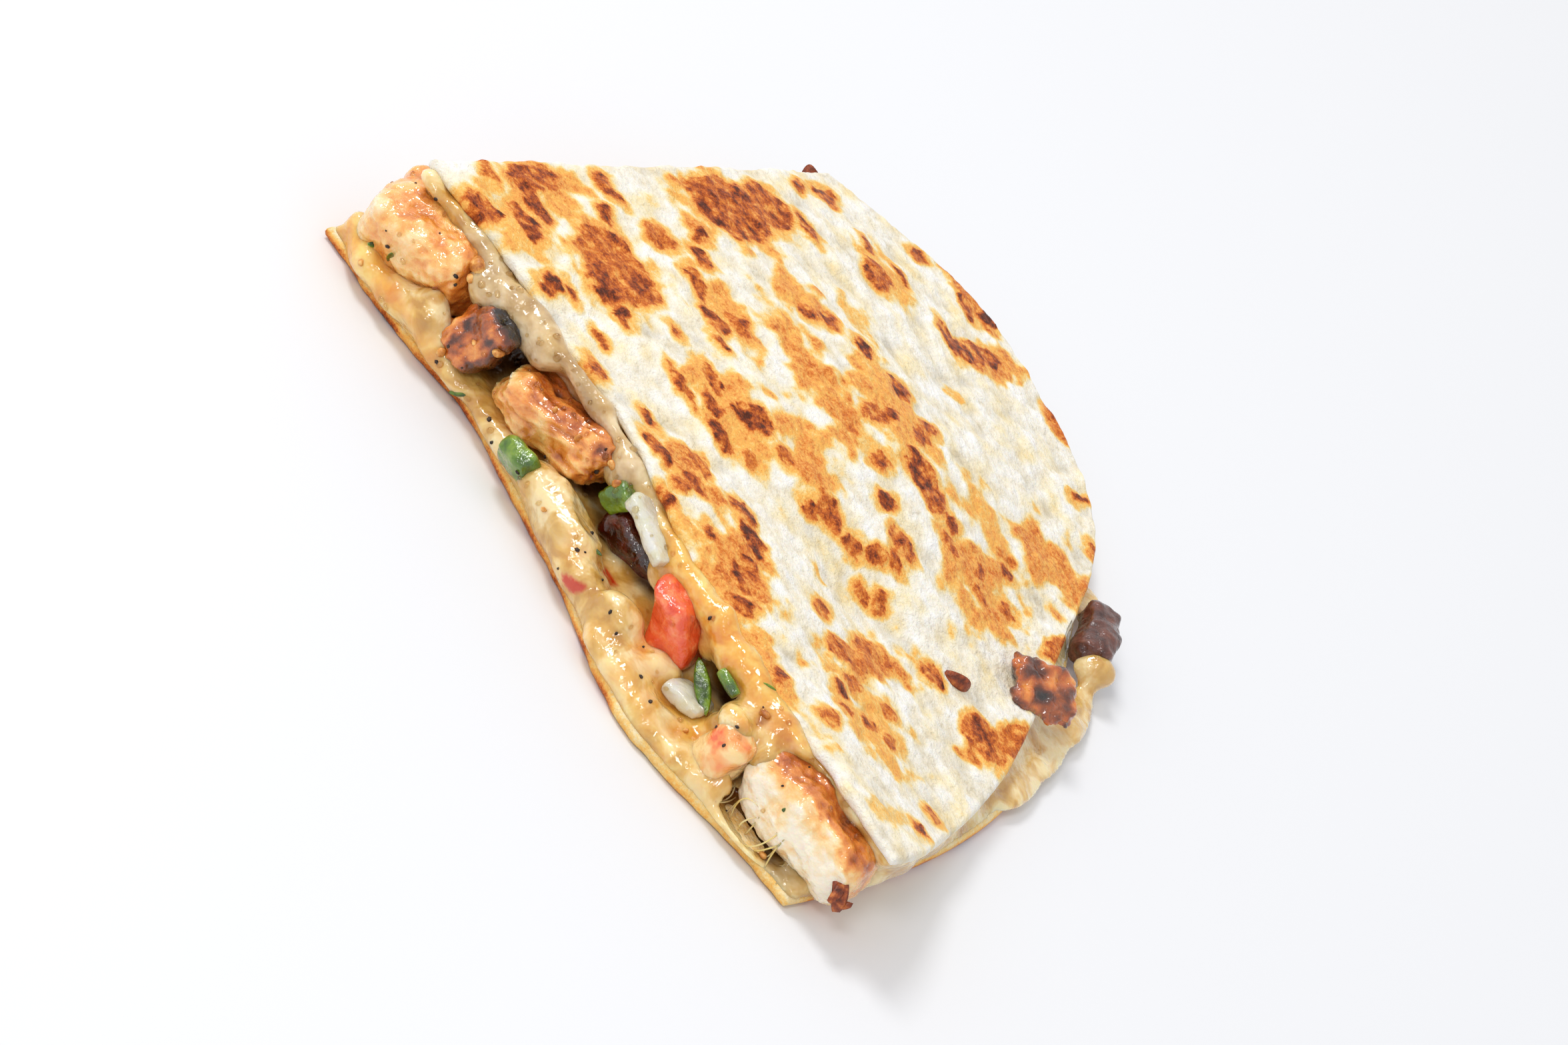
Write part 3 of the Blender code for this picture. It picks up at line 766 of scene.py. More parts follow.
def cheese_material():
    """Wet, half see-through cheese: cream where thick, yellow where oily, grey where thin, with painted shade
    in its hollows and crevices.
    """
    material, tree, shader = new_material(
        "melted_cheese", Subsurface_Weight=0.8, Subsurface_Scale=1.8 * MM, Specular_IOR_Level=0.4,
        Coat_Weight=0.7, Coat_Roughness=0.05, Coat_IOR=1.7)
    shader.inputs["Subsurface Radius"].default_value = (1.0, 0.8, 0.45)
    cream = ramp(tree, speckle(tree, 5.0, 3.0, 0.5, 0.8), (
        (0.34, seen(196, 148, 72)), (0.46, seen(220, 180, 102)), (0.60, seen(242, 220, 168))))
    oily = ramp(tree, speckle(tree, 4.0, 3.0, 0.5, 0.6), (
        (0.34, seen(226, 146, 42)), (0.50, seen(238, 180, 76)), (0.66, seen(247, 214, 126))))
    colour = blend_colours(tree, point_value(tree, "oil"), cream, oily)
    film = ramp(tree, speckle(tree, 4.0, 3.0, 0.5, 0.4), (
        (0.35, seen(178, 144, 96)), (0.52, seen(210, 182, 138)), (0.68, seen(234, 214, 178))))
    colour = blend_colours(tree, point_value(tree, "thin"), colour, film)
    crust = ramp(tree, speckle(tree, 1.6, 4.0, 0.65), (
        (0.35, seen(120, 58, 20)), (0.50, seen(196, 114, 40)), (0.66, seen(238, 178, 88))))
    colour = blend_colours(tree, point_value(tree, "fried"), colour, crust)
    colour = blend_colours(tree, point_value(tree, "sauce"), colour, seen(206, 62, 12))
    # Painted shade: browner and darker in the hollows of the skin, a little on the flat too
    shade = ramp(tree, point_value(tree, "hollow"), (
        (0.0, seen(255, 255, 255)), (0.34, seen(252, 234, 196)), (0.66, seen(234, 184, 116)),
        (1.0, seen(172, 106, 52))))
    colour = blend_colours(tree, 1.0, colour, shade, "MULTIPLY")
    # Painted shade: dark brown in the crevices and in the gap under the last chunk
    colour = blend_colours(tree, point_value(tree, "crevice_shade"), colour, seen(66, 30, 12))
    tree.links.new(colour, shader.inputs["Base Color"])
    # Less coat where the crevice shade is painted, so it stays dark
    film_left = calculate(tree, "SUBTRACT", 0.75, point_value(tree, "crevice_shade"), clamp=True)
    tree.links.new(film_left, shader.inputs["Coat Weight"])
    gloss = ramp(tree, speckle(tree, 1.8, 3.0, 0.6), ((0.35, grey(0.08)), (0.65, grey(0.26))))
    tree.links.new(gloss, shader.inputs["Roughness"])
    skin = calculate(tree, "ADD", speckle(tree, 3.0, 2.0, 0.5, 1.0), speckle(tree, 1.0, 1.0, 0.5))
    bump(tree, shader, skin, 0.5, 0.5)
    wet_film(tree, shader, 3.2, 0.7)
    return material


def fuse_lumps(layer, lumps):
    """Add the lumps to the layer and melt all of it into one skin."""
    extra = joined("lumps", [ball_mesh(*lump) for lump in lumps])
    builder = bmesh.new()
    builder.from_mesh(layer.data)
    builder.from_mesh(extra.data)
    builder.to_mesh(layer.data)
    builder.free()
    bpy.data.objects.remove(extra)
    merge_volume(layer, CHEESE_VOXEL, FIRST_SOFTENING)


def thin_inside(layer):
    """Fewer faces where both breads hide the layer, and all of them at its cuts and rim."""
    x, y, _ = mesh_points(layer)
    share_out = np.hypot(x, y) / plain_rim(np.arctan2(y, np.maximum(x, 1e-6)))
    deep = past(np.minimum(x, y), 18.0, 4.0) * short_of(share_out, 0.88, 0.04)
    inside = layer.vertex_groups.new(name="inside")
    inside.add(np.flatnonzero(deep > 0.5).tolist(), 1.0, "REPLACE")
    thin_out = layer.modifiers.new("thin_out", "DECIMATE")
    thin_out.ratio = KEPT_INSIDE
    thin_out.vertex_group = "inside"
    thin_out.vertex_group_factor = 1000.0
    settle(layer)
    layer.vertex_groups.clear()


def painted_crevice_shade(x, y, z):
    """Painted shade in the crevices beside the fillings and in the gap under the last chunk."""
    between = past(z, 3.2, 2.0) * short_of(z, 14.5, 2.0)
    front_edge = UPPER_SETBACK_Y + wander(x, UPPER_FRONT_WAVES)
    side_edge = UPPER_SETBACK_X + wander(y, UPPER_SIDE_WAVES)
    front = sum(bell(x, place, width) for place, width in FRONT_CREVICES) * past(y, front_edge - 0.6, 2.0)
    side = sum(bell(y, place, width) for place, width in SIDE_CREVICES) * past(x, side_edge - 0.6, 2.0)
    crevice_shade = between * np.maximum(front * short_of(y, 20.0, 4.0), side * short_of(x, 20.0, 4.0))
    crevice_shade *= (0.95 + 0.4 * grain(x, y, z, 3.0, seed=13.0)) * short_of(np.hypot(x, y), 118.0, 6.0)
    under_end = bell(x, 112.0, 8.0) * short_of(z, 5.4, 1.5) * past(y, -2.0, 1.6)
    return np.maximum(crevice_shade, under_end * short_of(y, 12.0, 2.0))


CHEESE = cheese_material()
cheese = cheese_layer()
fuse_lumps(cheese, CHEESE_LUMPS)
x, y, z = mesh_points(cheese)
sags = 0.9 * grain(x, y, z, 9.0, seed=5.0) + 0.65 * grain(x, y, z, 3.6, seed=6.0)
push_out(cheese, past(z, 1.6, 1.5) * sags)
cut_gaps(cheese, CHEESE_GAPS)
merge_volume(cheese, CHEESE_VOXEL, LAST_SOFTENING)
thin_inside(cheese)
x, y, z = mesh_points(cheese)
push_out(cheese, 0.10 * grain(x, y, z, 2.0, seed=7.0, octaves=2) * past(z, 1.4, 0.8))

# What colours it: oil at the tip, the end and the high front; sauce; the pan's heat; and painted shade in the
# crevices and hollows
x, y, z = mesh_points(cheese)
from_corner = np.hypot(x, y)
past_rim = past(from_corner, 106.0, 8.0)
oil = short_of(z, 8.0, 3.0) * (0.9 * bell(x, 12.0, 18.0) + 0.55 * bell(x, 92.0, 16.0)) * short_of(y, 8.0, 3.0)
oil += past(z, 12.0, 2.0) * bell(x, 88.0, 20.0) * short_of(y, 13.0, 4.0) * 1.3
oil += 0.5 * grain(x, y, z, 5.0, seed=9.0, octaves=2)
store(cheese, "oil", np.clip(oil * (1.0 - past_rim), 0.0, 1.0))
thin = past(z, 11.0, 2.0) * past(x, 12.0, 5.0) * short_of(x, 66.0, 8.0) * short_of(y, 14.0, 4.0)
store(cheese, "thin", np.clip(thin * (0.8 + 0.5 * grain(x, y, z, 4.0, seed=10.0)), 0.0, 1.0))
fried = short_of(z, 2.6, 1.2) * (0.45 + 0.9 * grain(x, y, z, 5.0, seed=11.0))
store(cheese, "fried", np.clip(fried * short_of(from_corner, 106.0, 8.0), 0.0, 1.0))
spot = np.hypot((x - 68.4) / 1.7, (z - 4.4) / 1.3) + 0.5 * grain(x, y, z, 1.5, seed=12.0)
store(cheese, "sauce", short_of(spot, 1.25, 0.4) * (y < 4.0))
store(cheese, "crevice_shade", np.clip(painted_crevice_shade(x, y, z), 0.0, 0.94))
# Painted shade: how deep each point lies in a hollow, read by the cheese's shade ramp
hollow = hollowness(cheese, rounds=40)
store(cheese, "hollow", np.clip((0.12 + 1.1 * hollow) * (1.0 - 0.8 * past_rim), 0.0, 1.0))
coat(cheese, CHEESE)
stand_for(cheese, "melted_cheese")


# ------------------------------------------------------------- chicken
# Breast meat, seasoned, seared on a grill and diced by hand. The cut sides show pale flesh in long
# fibres, and the outsides are golden to burnt.
CHICKEN_VOXEL = 0.40
CHICKEN_SOFTENING = 42
CHICKEN_SWELL = 0.65


def filling(node, voxel, smoothing):
    """A piece of filling with the body that the frame gives it, evenly divided."""
    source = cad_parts[node]
    mesh = source.data.copy()
    piece = bpy.data.objects.new(node + "_piece", mesh)
    bpy.context.scene.collection.objects.link(piece)
    merge_volume(piece, voxel, smoothing)
    return piece


def chicken_material():
    """Moist meat whose colour follows how hard it was seared, and painted shade in its hollows."""
    material, tree, shader = new_material(
        "grilled_chicken", Subsurface_Weight=0.5, Subsurface_Scale=1.4 * MM, Specular_IOR_Level=0.4,
        Coat_Weight=0.8, Coat_Roughness=0.07, Coat_IOR=1.7)
    shader.inputs["Subsurface Radius"].default_value = (1.0, 0.5, 0.25)
    uneven = calculate(tree, "SUBTRACT", speckle(tree, 2.2, 4.0, 0.6, 0.5), 0.5)
    share = calculate(tree, "ADD", point_value(tree, "sear_and_shade"), calculate(tree, "MULTIPLY", uneven, 0.5))
    colour = ramp(tree, share, (
        (0.00, seen(255, 238, 214)), (0.13, seen(254, 218, 162)), (0.27, seen(250, 190, 108)),
        (0.43, seen(232, 144, 56)), (0.60, seen(188, 94, 26)), (0.78, seen(104, 44, 12)),
        (1.00, seen(26, 12, 8))))
    tree.links.new(colour, shader.inputs["Base Color"])
    gloss = ramp(tree, speckle(tree, 1.4, 3.0), ((0.35, grey(0.20)), (0.65, grey(0.46))))
    tree.links.new(gloss, shader.inputs["Roughness"])
    skin = calculate(tree, "ADD", speckle(tree, 1.4, 4.0, 0.6), speckle(tree, 0.5, 2.0))
    bump(tree, shader, skin, 0.28, 0.6)
    wet_film(tree, shader, 2.4, 0.7)
    return material


def taper_tip(chunk, share):
    """Lower a chunk towards its end nearest the corner by a share of its height."""
    x, y, z = mesh_points(chunk)
    lost = share * (x.max() - x) / (x.max() - x.min())
    set_points(chunk, x, y, z.min() + (z - z.min()) * (1.0 - lost))


def lay_fibres(chunk, fibre, tear, seed):
    """Tears between the strands of meat, and its fine grain."""
    x, y, z = mesh_points(chunk)
    along = Vector(fibre).normalized()
    run = x * along.x + y * along.y + z * along.z
    fx, fy, fz = (axis - 0.85 * run * part for axis, part in zip((x, y, z), along))
    tears = np.abs(grain(fx, fy, fz, 1.6, seed + 0.2)) + 0.4 * np.abs(grain(fx, fy, fz, 0.8, seed))
    push_out(chunk, tear * (0.35 - tears) + 0.25 * grain(x, y, z, 1.1, seed + 0.9))


def sear_and_shade_on(chunk, pale, least, most, topping, seed):
    """How hard each point was seared: least on the cut face, most on the crust; painted shade darkens its
    hollows.
    """
    nx, ny, nz = mesh_normals(chunk)
    face = Vector(pale).normalized()
    facing = nx * face.x + ny * face.y + nz * face.z
    sear_and_shade = least + (most - least) * short_of(facing, 0.60, 0.7)
    x, y, z = mesh_points(chunk)
    height = (z - z.min()) / (z.max() - z.min()) + 0.15 * grain(x, y, z, 3.0, seed + 0.3)
    sear_and_shade += topping * (past(height, 0.62, 0.2) + short_of(height, 0.16, 0.1))
    # Random tone, and painted shade that browns the hollows of the meat
    sear_and_shade += 0.16 * grain(x, y, z, 4.0, seed + 0.7) + 0.35 * hollowness(chunk, rounds=30)
    return np.clip(sear_and_shade, 0.0, 1.1)


# node, fibre direction, pale face direction, least sear, sear elsewhere, browning of the top,
# lumps, tears, share of the height lost towards the tip, slot
CHICKEN = (
    ("chicken_tip", (0.8, 0.1, 0.6), (-0.3, -1.0, 0.3), 0.31, 0.48, 0.10, 0.6, 0.25, 0.10, "chicken"),
    ("chicken_charred", (0.3, 0.0, 1.0), (-1.0, -0.8, -0.1), 0.58, 0.95, 0.2, 1.1, 0.8, 0.15, "charred"),
    ("chicken_middle", (0.9, 0.0, 0.3), (-0.6, -1.0, -0.5), 0.40, 0.54, 0.10, 0.8, 1.0, 0.34, "chicken"),
    ("chicken_end", (0.95, 0.1, -0.3), (-0.3, -1.0, -0.5), 0.05, 0.38, 0.20, 0.5, 0.45, 0.06, "chicken"),
    ("chicken_side_near", (0.1, 0.9, 0.3), (-1.0, 0.0, 0.1), 0.08, 0.42, 0.20, 0.6, 0.4, 0.00, "chicken"),
    ("chicken_side_middle", (0.2, 0.8, 0.5), (-1.0, 0.3, 0.0), 0.44, 0.80, 0.1, 0.8, 0.5, 0.00, "charred"),
    ("chicken_side_far", (0.1, 0.9, -0.2), (-1.0, -0.1, 0.3), 0.12, 0.44, 0.20, 0.6, 0.4, 0.00, "chicken"),
)
MEAT = chicken_material()
for seed, row in enumerate(CHICKEN, start=20):
    node, fibre, pale, least, most, topping, lump, tear, taper, slot = row
    chunk = filling(node, CHICKEN_VOXEL, CHICKEN_SOFTENING)
    push_out(chunk, CHICKEN_SWELL)
    taper_tip(chunk, taper)
    x, y, z = mesh_points(chunk)
    push_out(chunk, lump * (1.5 * grain(x, y, z, 8.0, seed) + 1.1 * grain(x, y, z, 3.4, seed + 0.5)))
    lay_fibres(chunk, fibre, tear, seed)
    store(chunk, "sear_and_shade", sear_and_shade_on(chunk, pale, least, most, topping, seed))
    coat(chunk, MEAT)
    stand_for(chunk, node)


# ------------------------------------------------------------- tomato
# Ripe tomato, diced by hand with the skin on. The heat softened it and made it shiny. One piece,
# deep in its hole, is drawn much darker as painted shade, and one took up cheese and went pale.
TOMATO_WAVES = ((4.4, 0.8), (1.8, 0.16))


def wet_material(name, stops, size, roughness, scatter, radius):
    """A moist vegetable: a mottled colour under a shiny skin."""
    material, tree, shader = new_material(
        name, Subsurface_Weight=0.5, Subsurface_Scale=scatter * MM, Specular_IOR_Level=0.6,
        Coat_Weight=0.8, Coat_Roughness=0.05, Coat_IOR=1.6, Roughness=roughness)
    shader.inputs["Subsurface Radius"].default_value = radius
    tree.links.new(ramp(tree, speckle(tree, size, 3.0, 0.6, 0.6), stops), shader.inputs["Base Color"])
    bump(tree, shader, speckle(tree, 1.2, 3.0, 0.55), 0.5, 0.6)
    wet_film(tree, shader, 1.6, 0.7)
    return material


def soft_piece(node, material, waves, voxel, smoothing, swell, seed):
    """A cooked piece of filling: its corners melt away and its skin goes uneven."""
    piece = filling(node, voxel, smoothing)
    push_out(piece, swell)
    for size, depth in waves:
        x, y, z = mesh_points(piece)
        push_out(piece, depth * grain(x, y, z, size, seed + size))
    coat(piece, material)
    stand_for(piece, node)


TOMATO = wet_material("tomato", (
    (0.32, seen(222, 62, 22)), (0.50, seen(240, 96, 44)), (0.68, seen(250, 150, 94))),
    size=2.6, roughness=0.14, scatter=1.4, radius=(1.0, 0.4, 0.25))
# Painted shade: a much darker copy of the tomato colours, for the piece deep in its hole
SHADED_TOMATO = wet_material("shaded_tomato", (
    (0.32, seen(44, 8, 2)), (0.50, seen(84, 18, 6)), (0.68, seen(132, 36, 12))),
    size=3.0, roughness=0.16, scatter=1.0, radius=(1.0, 0.3, 0.2))
PALE_TOMATO = wet_material("pale_tomato", (
    (0.36, seen(240, 104, 40)), (0.45, seen(250, 164, 88)), (0.58, seen(254, 214, 150))),
    size=6.0, roughness=0.10, scatter=2.4, radius=(1.0, 0.6, 0.35))
soft_piece("tomato_front", TOMATO, TOMATO_WAVES, voxel=0.35, smoothing=44, swell=0.2, seed=40)
soft_piece("tomato_deep", SHADED_TOMATO, TOMATO_WAVES, voxel=0.4, smoothing=20, swell=1.1, seed=43)
soft_piece("tomato_end", PALE_TOMATO, TOMATO_WAVES, voxel=0.35, smoothing=60, swell=1.0, seed=46)
soft_piece("tomato_side", TOMATO, TOMATO_WAVES, voxel=0.4, smoothing=16, swell=0.5, seed=49)


# ------------------------------------------------------------- onion
# White onion, cut by hand in short slivers and laid in with the cheese. It cooked until it turned
# glassy.
ONION_WAVES = ((3.0, 0.45), (1.4, 0.12))
ONION = wet_material("onion", (
    (0.32, seen(234, 228, 190)), (0.52, seen(245, 243, 218)), (0.70, seen(252, 252, 240))),
    size=3.4, roughness=0.10, scatter=2.0, radius=(1.0, 0.95, 0.6))
ONION.node_tree.nodes["Principled BSDF"].inputs["Transmission Weight"].default_value = 0.25
soft_piece("onion_front", ONION, ONION_WAVES, voxel=0.3, smoothing=2, swell=0.0, seed=52)
soft_piece("onion_low", ONION, ONION_WAVES, voxel=0.3, smoothing=2, swell=0.1, seed=55)
soft_piece("onion_side", ONION, ONION_WAVES, voxel=0.3, smoothing=2, swell=0.1, seed=58)


# ------------------------------------------------------------- green pepper
# Green chilli, sliced across with its dark skin on: a thick round stuck to the cheese of the
# front cut, and a strip pressed in beside the onion.
PEPPER_WAVES = ((2.6, 0.4), (1.2, 0.12))
PEPPER = wet_material("green_pepper", (
    (0.32, seen(56, 88, 4)), (0.50, seen(84, 122, 8)), (0.68, seen(128, 158, 30))),
    size=2.6, roughness=0.12, scatter=1.0, radius=(0.8, 1.0, 0.3))
soft_piece("pepper_front", PEPPER, PEPPER_WAVES, voxel=0.3, smoothing=12, swell=0.2, seed=61)
soft_piece("pepper_strip", PEPPER, PEPPER_WAVES, voxel=0.3, smoothing=8, swell=0.2, seed=64)


# ------------------------------------------------------------- upper bread
# The same flatbread as below, draped over the filling. The griddle browned it wherever it bulged:
# freckles with gold round them, larger fried patches, and pale floury hollows between.
UPPER_TOP_CELLS = 300
UPPER_BOTTOM_CELLS = 60

# Gold stretches: centre, width along the front cut, width away from it, depth of colour
GOLD = (
    (47.0, 57.0, 34.0, 14.0, 0.36), (32.0, 66.0, 13.0, 13.0, 0.32), (60.0, 44.0, 20.0, 16.0, 0.34),
    (82.0, 72.0, 22.0, 24.0, 0.34), (80.0, 96.0, 20.0, 24.0, 0.36), (93.0, 33.0, 11.0, 36.0, 0.40),
    (62.0, 16.0, 20.0, 10.0, 0.36), (78.0, 14.0, 20.0, 14.0, 0.38), (24.0, 28.0, 24.0, 22.0, 0.30),
    (14.0, 64.0, 20.0, 30.0, 0.34), (10.0, 24.0, 14.0, 20.0, 0.30), (52.0, 33.0, 26.0, 14.0, 0.30),
    (34.0, 46.0, 22.0, 10.0, 0.30), (55.0, 72.0, 36.0, 18.0, 0.30), (86.0, 6.0, 46.0, 9.0, 0.30),
    (52.0, 124.0, 12.0, 8.0, 0.44), (28.0, 121.0, 22.0, 7.0, 0.40), (108.0, 60.0, 12.0, 24.0, 0.44),
    (26.0, 98.0, 16.0, 14.0, 0.24), (41.0, 116.0, 10.0, 22.0, 0.34), (105.0, 26.0, 18.0, 26.0, 0.24),
    (94.0, 88.0, 6.0, 14.0, 0.46), (34.0, 80.0, 8.0, 8.0, 0.20), (48.0, 96.0, 4.0, 6.0, 0.22),
    (79.0, 34.0, 5.0, 5.0, 0.24), (16.0, 14.0, 20.0, 14.0, 0.24), (78.0, 110.0, 8.0, 5.0, 0.34),
    (60.0, 60.0, 12.0, 12.0, 0.22), (72.0, 84.0, 18.0, 12.0, 0.26), (120.0, 12.0, 6.0, 16.0, 0.16),
)
# Brown spots: centre, size along the front cut, size away from it, depth of colour
SPOTS = (
    (15.0, 65.0, 13.0, 17.0, 0.78), (14.0, 76.0, 10.0, 9.0, 0.74), (13.0, 69.0, 5.0, 6.0, 0.92),
    (25.0, 28.5, 16.0, 13.0, 0.72), (28.0, 23.0, 8.0, 4.0, 0.84), (8.0, 24.0, 6.0, 12.0, 0.74),
    (66.0, 70.0, 11.0, 7.0, 0.80), (40.0, 112.0, 5.0, 14.0, 0.88), (38.0, 106.0, 8.0, 4.0, 0.74),
    (107.0, 54.0, 9.0, 9.0, 0.72), (108.0, 63.0, 6.0, 12.0, 0.60),
    (13.0, 8.0, 6.0, 5.0, 0.88), (16.0, 15.5, 7.0, 4.0, 0.86), (12.0, 20.0, 8.0, 3.0, 0.82),
    (7.0, 14.0, 4.0, 2.0, 0.66), (11.0, 39.0, 6.0, 3.4, 0.86), (15.0, 34.0, 4.0, 3.0, 0.84),
    (20.0, 43.0, 5.0, 5.0, 0.66), (24.0, 49.0, 5.0, 4.0, 0.84), (20.0, 52.5, 3.4, 2.4, 0.86),
    (29.0, 44.0, 6.0, 3.0, 0.84), (36.0, 42.5, 5.0, 3.0, 0.84), (40.0, 40.0, 4.0, 3.0, 0.82),
    (37.0, 47.0, 5.0, 3.0, 0.66), (34.0, 23.5, 4.0, 3.0, 0.86), (37.5, 32.0, 2.4, 1.6, 0.80),
    (27.0, 12.0, 3.0, 4.0, 0.84), (28.5, 15.5, 3.0, 2.0, 0.80), (36.0, 16.2, 3.0, 1.8, 0.80),
    (41.8, 11.5, 4.0, 2.6, 0.86), (46.0, 33.0, 6.0, 3.0, 0.86), (50.0, 30.0, 6.0, 2.0, 0.84),
    (55.0, 28.0, 6.0, 3.6, 0.84), (46.5, 26.0, 7.0, 3.0, 0.84), (54.0, 37.0, 4.4, 5.0, 0.86),
    (54.0, 33.6, 3.0, 2.0, 0.90), (60.0, 38.0, 3.0, 2.6, 0.76), (60.0, 31.0, 3.0, 3.0, 0.66),
    (51.5, 15.2, 5.0, 3.0, 0.92), (57.0, 12.0, 6.0, 2.4, 0.84), (63.0, 14.0, 4.0, 6.0, 0.84),
    (60.0, 19.0, 6.0, 2.4, 0.70), (65.5, 7.4, 4.0, 2.4, 0.80), (69.0, 22.0, 5.0, 3.0, 0.88),
    (74.0, 20.0, 7.0, 3.2, 0.88), (78.5, 15.0, 6.0, 4.0, 0.86), (84.0, 9.4, 4.0, 4.0, 0.88),
    (72.0, 11.0, 3.0, 2.0, 0.88), (80.0, 12.0, 4.0, 3.0, 0.86), (49.5, 77.5, 5.0, 4.4, 0.90),
    (42.5, 74.0, 4.0, 4.4, 0.88), (57.0, 78.0, 3.0, 5.0, 0.80), (58.5, 75.0, 3.0, 3.0, 0.86),
    (55.0, 70.0, 3.0, 4.0, 0.84), (54.5, 65.0, 4.0, 6.0, 0.66), (62.5, 60.5, 3.4, 5.0, 0.84),
    (36.5, 70.0, 4.0, 4.0, 0.82), (35.5, 65.5, 3.0, 3.0, 0.86), (69.0, 57.0, 2.2, 4.0, 0.80),
    (76.0, 56.0, 6.0, 4.0, 0.78), (78.0, 53.0, 4.0, 3.0, 0.78), (77.0, 49.0, 3.0, 4.0, 0.74),
    (75.0, 44.5, 4.0, 4.0, 0.76), (70.0, 42.5, 6.0, 4.0, 0.78), (69.0, 39.0, 4.0, 3.0, 0.80),
    (83.5, 46.0, 3.0, 3.0, 0.72), (82.0, 42.5, 3.4, 3.0, 0.76), (80.0, 82.0, 4.0, 3.0, 0.78),
    (80.5, 75.0, 3.0, 3.0, 0.72), (86.5, 77.0, 3.0, 4.0, 0.64), (84.0, 71.5, 3.0, 3.0, 0.66),
    (76.0, 69.0, 4.0, 3.0, 0.62), (73.0, 71.5, 2.6, 2.6, 0.82), (62.0, 70.0, 3.0, 2.4, 0.86),
    (85.0, 29.0, 2.6, 3.4, 0.70), (95.5, 50.0, 3.6, 5.0, 0.76), (93.0, 40.0, 3.0, 3.0, 0.70),
    (92.0, 27.0, 4.0, 4.0, 0.62), (91.0, 35.0, 4.0, 4.0, 0.58), (97.5, 26.0, 2.6, 3.0, 0.70),
    (98.5, 21.0, 3.0, 3.0, 0.86), (103.5, 24.0, 3.0, 3.4, 0.90), (107.0, 27.5, 3.0, 4.0, 0.74),
    (101.5, 32.0, 3.0, 4.0, 0.72), (102.5, 19.5, 3.0, 2.0, 0.72), (103.5, 12.0, 3.0, 4.0, 0.62),
    (95.5, 7.5, 3.0, 2.4, 0.80), (122.5, 18.5, 3.6, 2.4, 0.90), (119.0, 28.0, 3.0, 3.0, 0.56),
    (26.5, 95.0, 7.0, 6.0, 0.70), (26.5, 93.0, 4.0, 2.6, 0.90), (20.0, 98.0, 4.0, 2.4, 0.80),
    (26.0, 102.5, 4.0, 1.8, 0.88), (20.5, 114.0, 2.8, 4.0, 0.82), (24.0, 120.5, 3.0, 2.4, 0.84),
    (31.0, 119.0, 5.0, 3.0, 0.86), (32.0, 123.0, 5.0, 3.0, 0.96), (67.5, 116.0, 2.0, 4.4, 0.88),
    (55.0, 126.0, 6.0, 2.0, 0.62), (18.0, 83.0, 7.0, 3.0, 0.84), (10.0, 97.0, 4.0, 6.0, 0.80),
    (9.0, 90.0, 3.0, 4.0, 0.84), (78.5, 111.0, 5.0, 2.4, 0.60), (94.0, 86.0, 3.0, 9.0, 0.50),
)
# Noise that makes the patches' outlines uneven: size of its waves, reach and seed
UNEVEN = ((4.5, 1.4, 70.0), (1.9, 0.8, 71.0), (0.9, 0.3, 72.0))
# Where the cheese reaches past the bread's front edge: place, half width, reach
BREAD_SHORT = ((24.0, 17.0, 2.6), (48.0, 12.0, 1.4))
BROWNED_RISE = 0.22


def oval(x, y, patch):
    """Distance from a patch's centre, 1 at its outline."""
    return np.hypot((x - patch[0]) / (0.5 * patch[2]), (y - patch[1]) / (0.5 * patch[3]))


def browning(x, y):
    """How brown the griddle left the bread, from 0 to 1."""
    flat = 0.0 * x
    shift_x, shift_y = flat.copy(), flat.copy()
    for size, reach, seed in UNEVEN:
        shift_x += reach * grain(x, y, flat, size, seed)
        shift_y += reach * grain(x, y, flat, size, seed + 9.0)
    blotches = grain(x, y, flat, 5.0, 74.0, 3)
    pits = grain(x, y, flat, 1.7, 73.0, 2)
    x, y = x + shift_x, y + shift_y
    gold, rim, fried, burnt = flat.copy(), flat.copy(), flat.copy(), flat.copy()
    for patch in GOLD:
        inner = 1.08 - oval(x, y, patch) + 0.66 * blotches
        level = patch[4] * (0.66 + 0.50 * smoothstep(inner / 0.7) + 0.34 * pits + 0.25 * blotches)
        gold = np.maximum(gold, level * smoothstep(inner / 0.62))
    for patch in SPOTS:
        away = (oval(x, y, patch) - 1.0) * 0.25 * (patch[2] + patch[3])
        rim = np.maximum(rim, 0.26 * smoothstep(1.35 - away / 1.5))
        cover = smoothstep(0.90 - away / 0.6)
        large = past(patch[2] + patch[3], 3.0, 5.0)
        fried = np.maximum(fried, (0.57 + (0.14 + 0.12 * large) * pits) * cover)
        middle = smoothstep(0.40 - away / 0.9 + pits)
        char = patch[4] * (1.0 + large * (0.50 * pits + 0.30 * blotches - 0.14))
        burnt = np.maximum(burnt, char * cover * middle)
    haze = 0.02 + 0.09 * blotches
    browned = np.maximum(np.maximum(gold, rim), np.maximum(fried, burnt))
    return np.clip(np.maximum(browned, haze), 0.0, 1.0)


def upper_relief(x, y):
    """Blisters and wrinkles of the bread's upper face."""
    flat = 0.0 * x
    pillows = 0.46 * grain(x, y, flat, 6.5, 75.0) + 0.34 * grain(x, y, flat, 3.0, 76.0)
    creases = np.abs(grain(x * 0.8 + y * 0.6, 0.4 * y - 0.5 * x, flat, 3.4, 78.0))
    return pillows + 0.13 * grain(x, y, flat, 1.2, 77.0) - 0.45 * np.maximum(0.0, 0.22 - creases)


def upper_top(x, y):
    return upper_underside(x, y) + BREAD_THICKNESS + upper_relief(x, y) - 0.15


def upper_bread_point(s, t, inset):
    """Plan of the bread itself, short of the cheese in two places along the front."""
    x, y = upper_point(s, t, inset)
    return x, y + wander(x, BREAD_SHORT) * (1.0 - t)


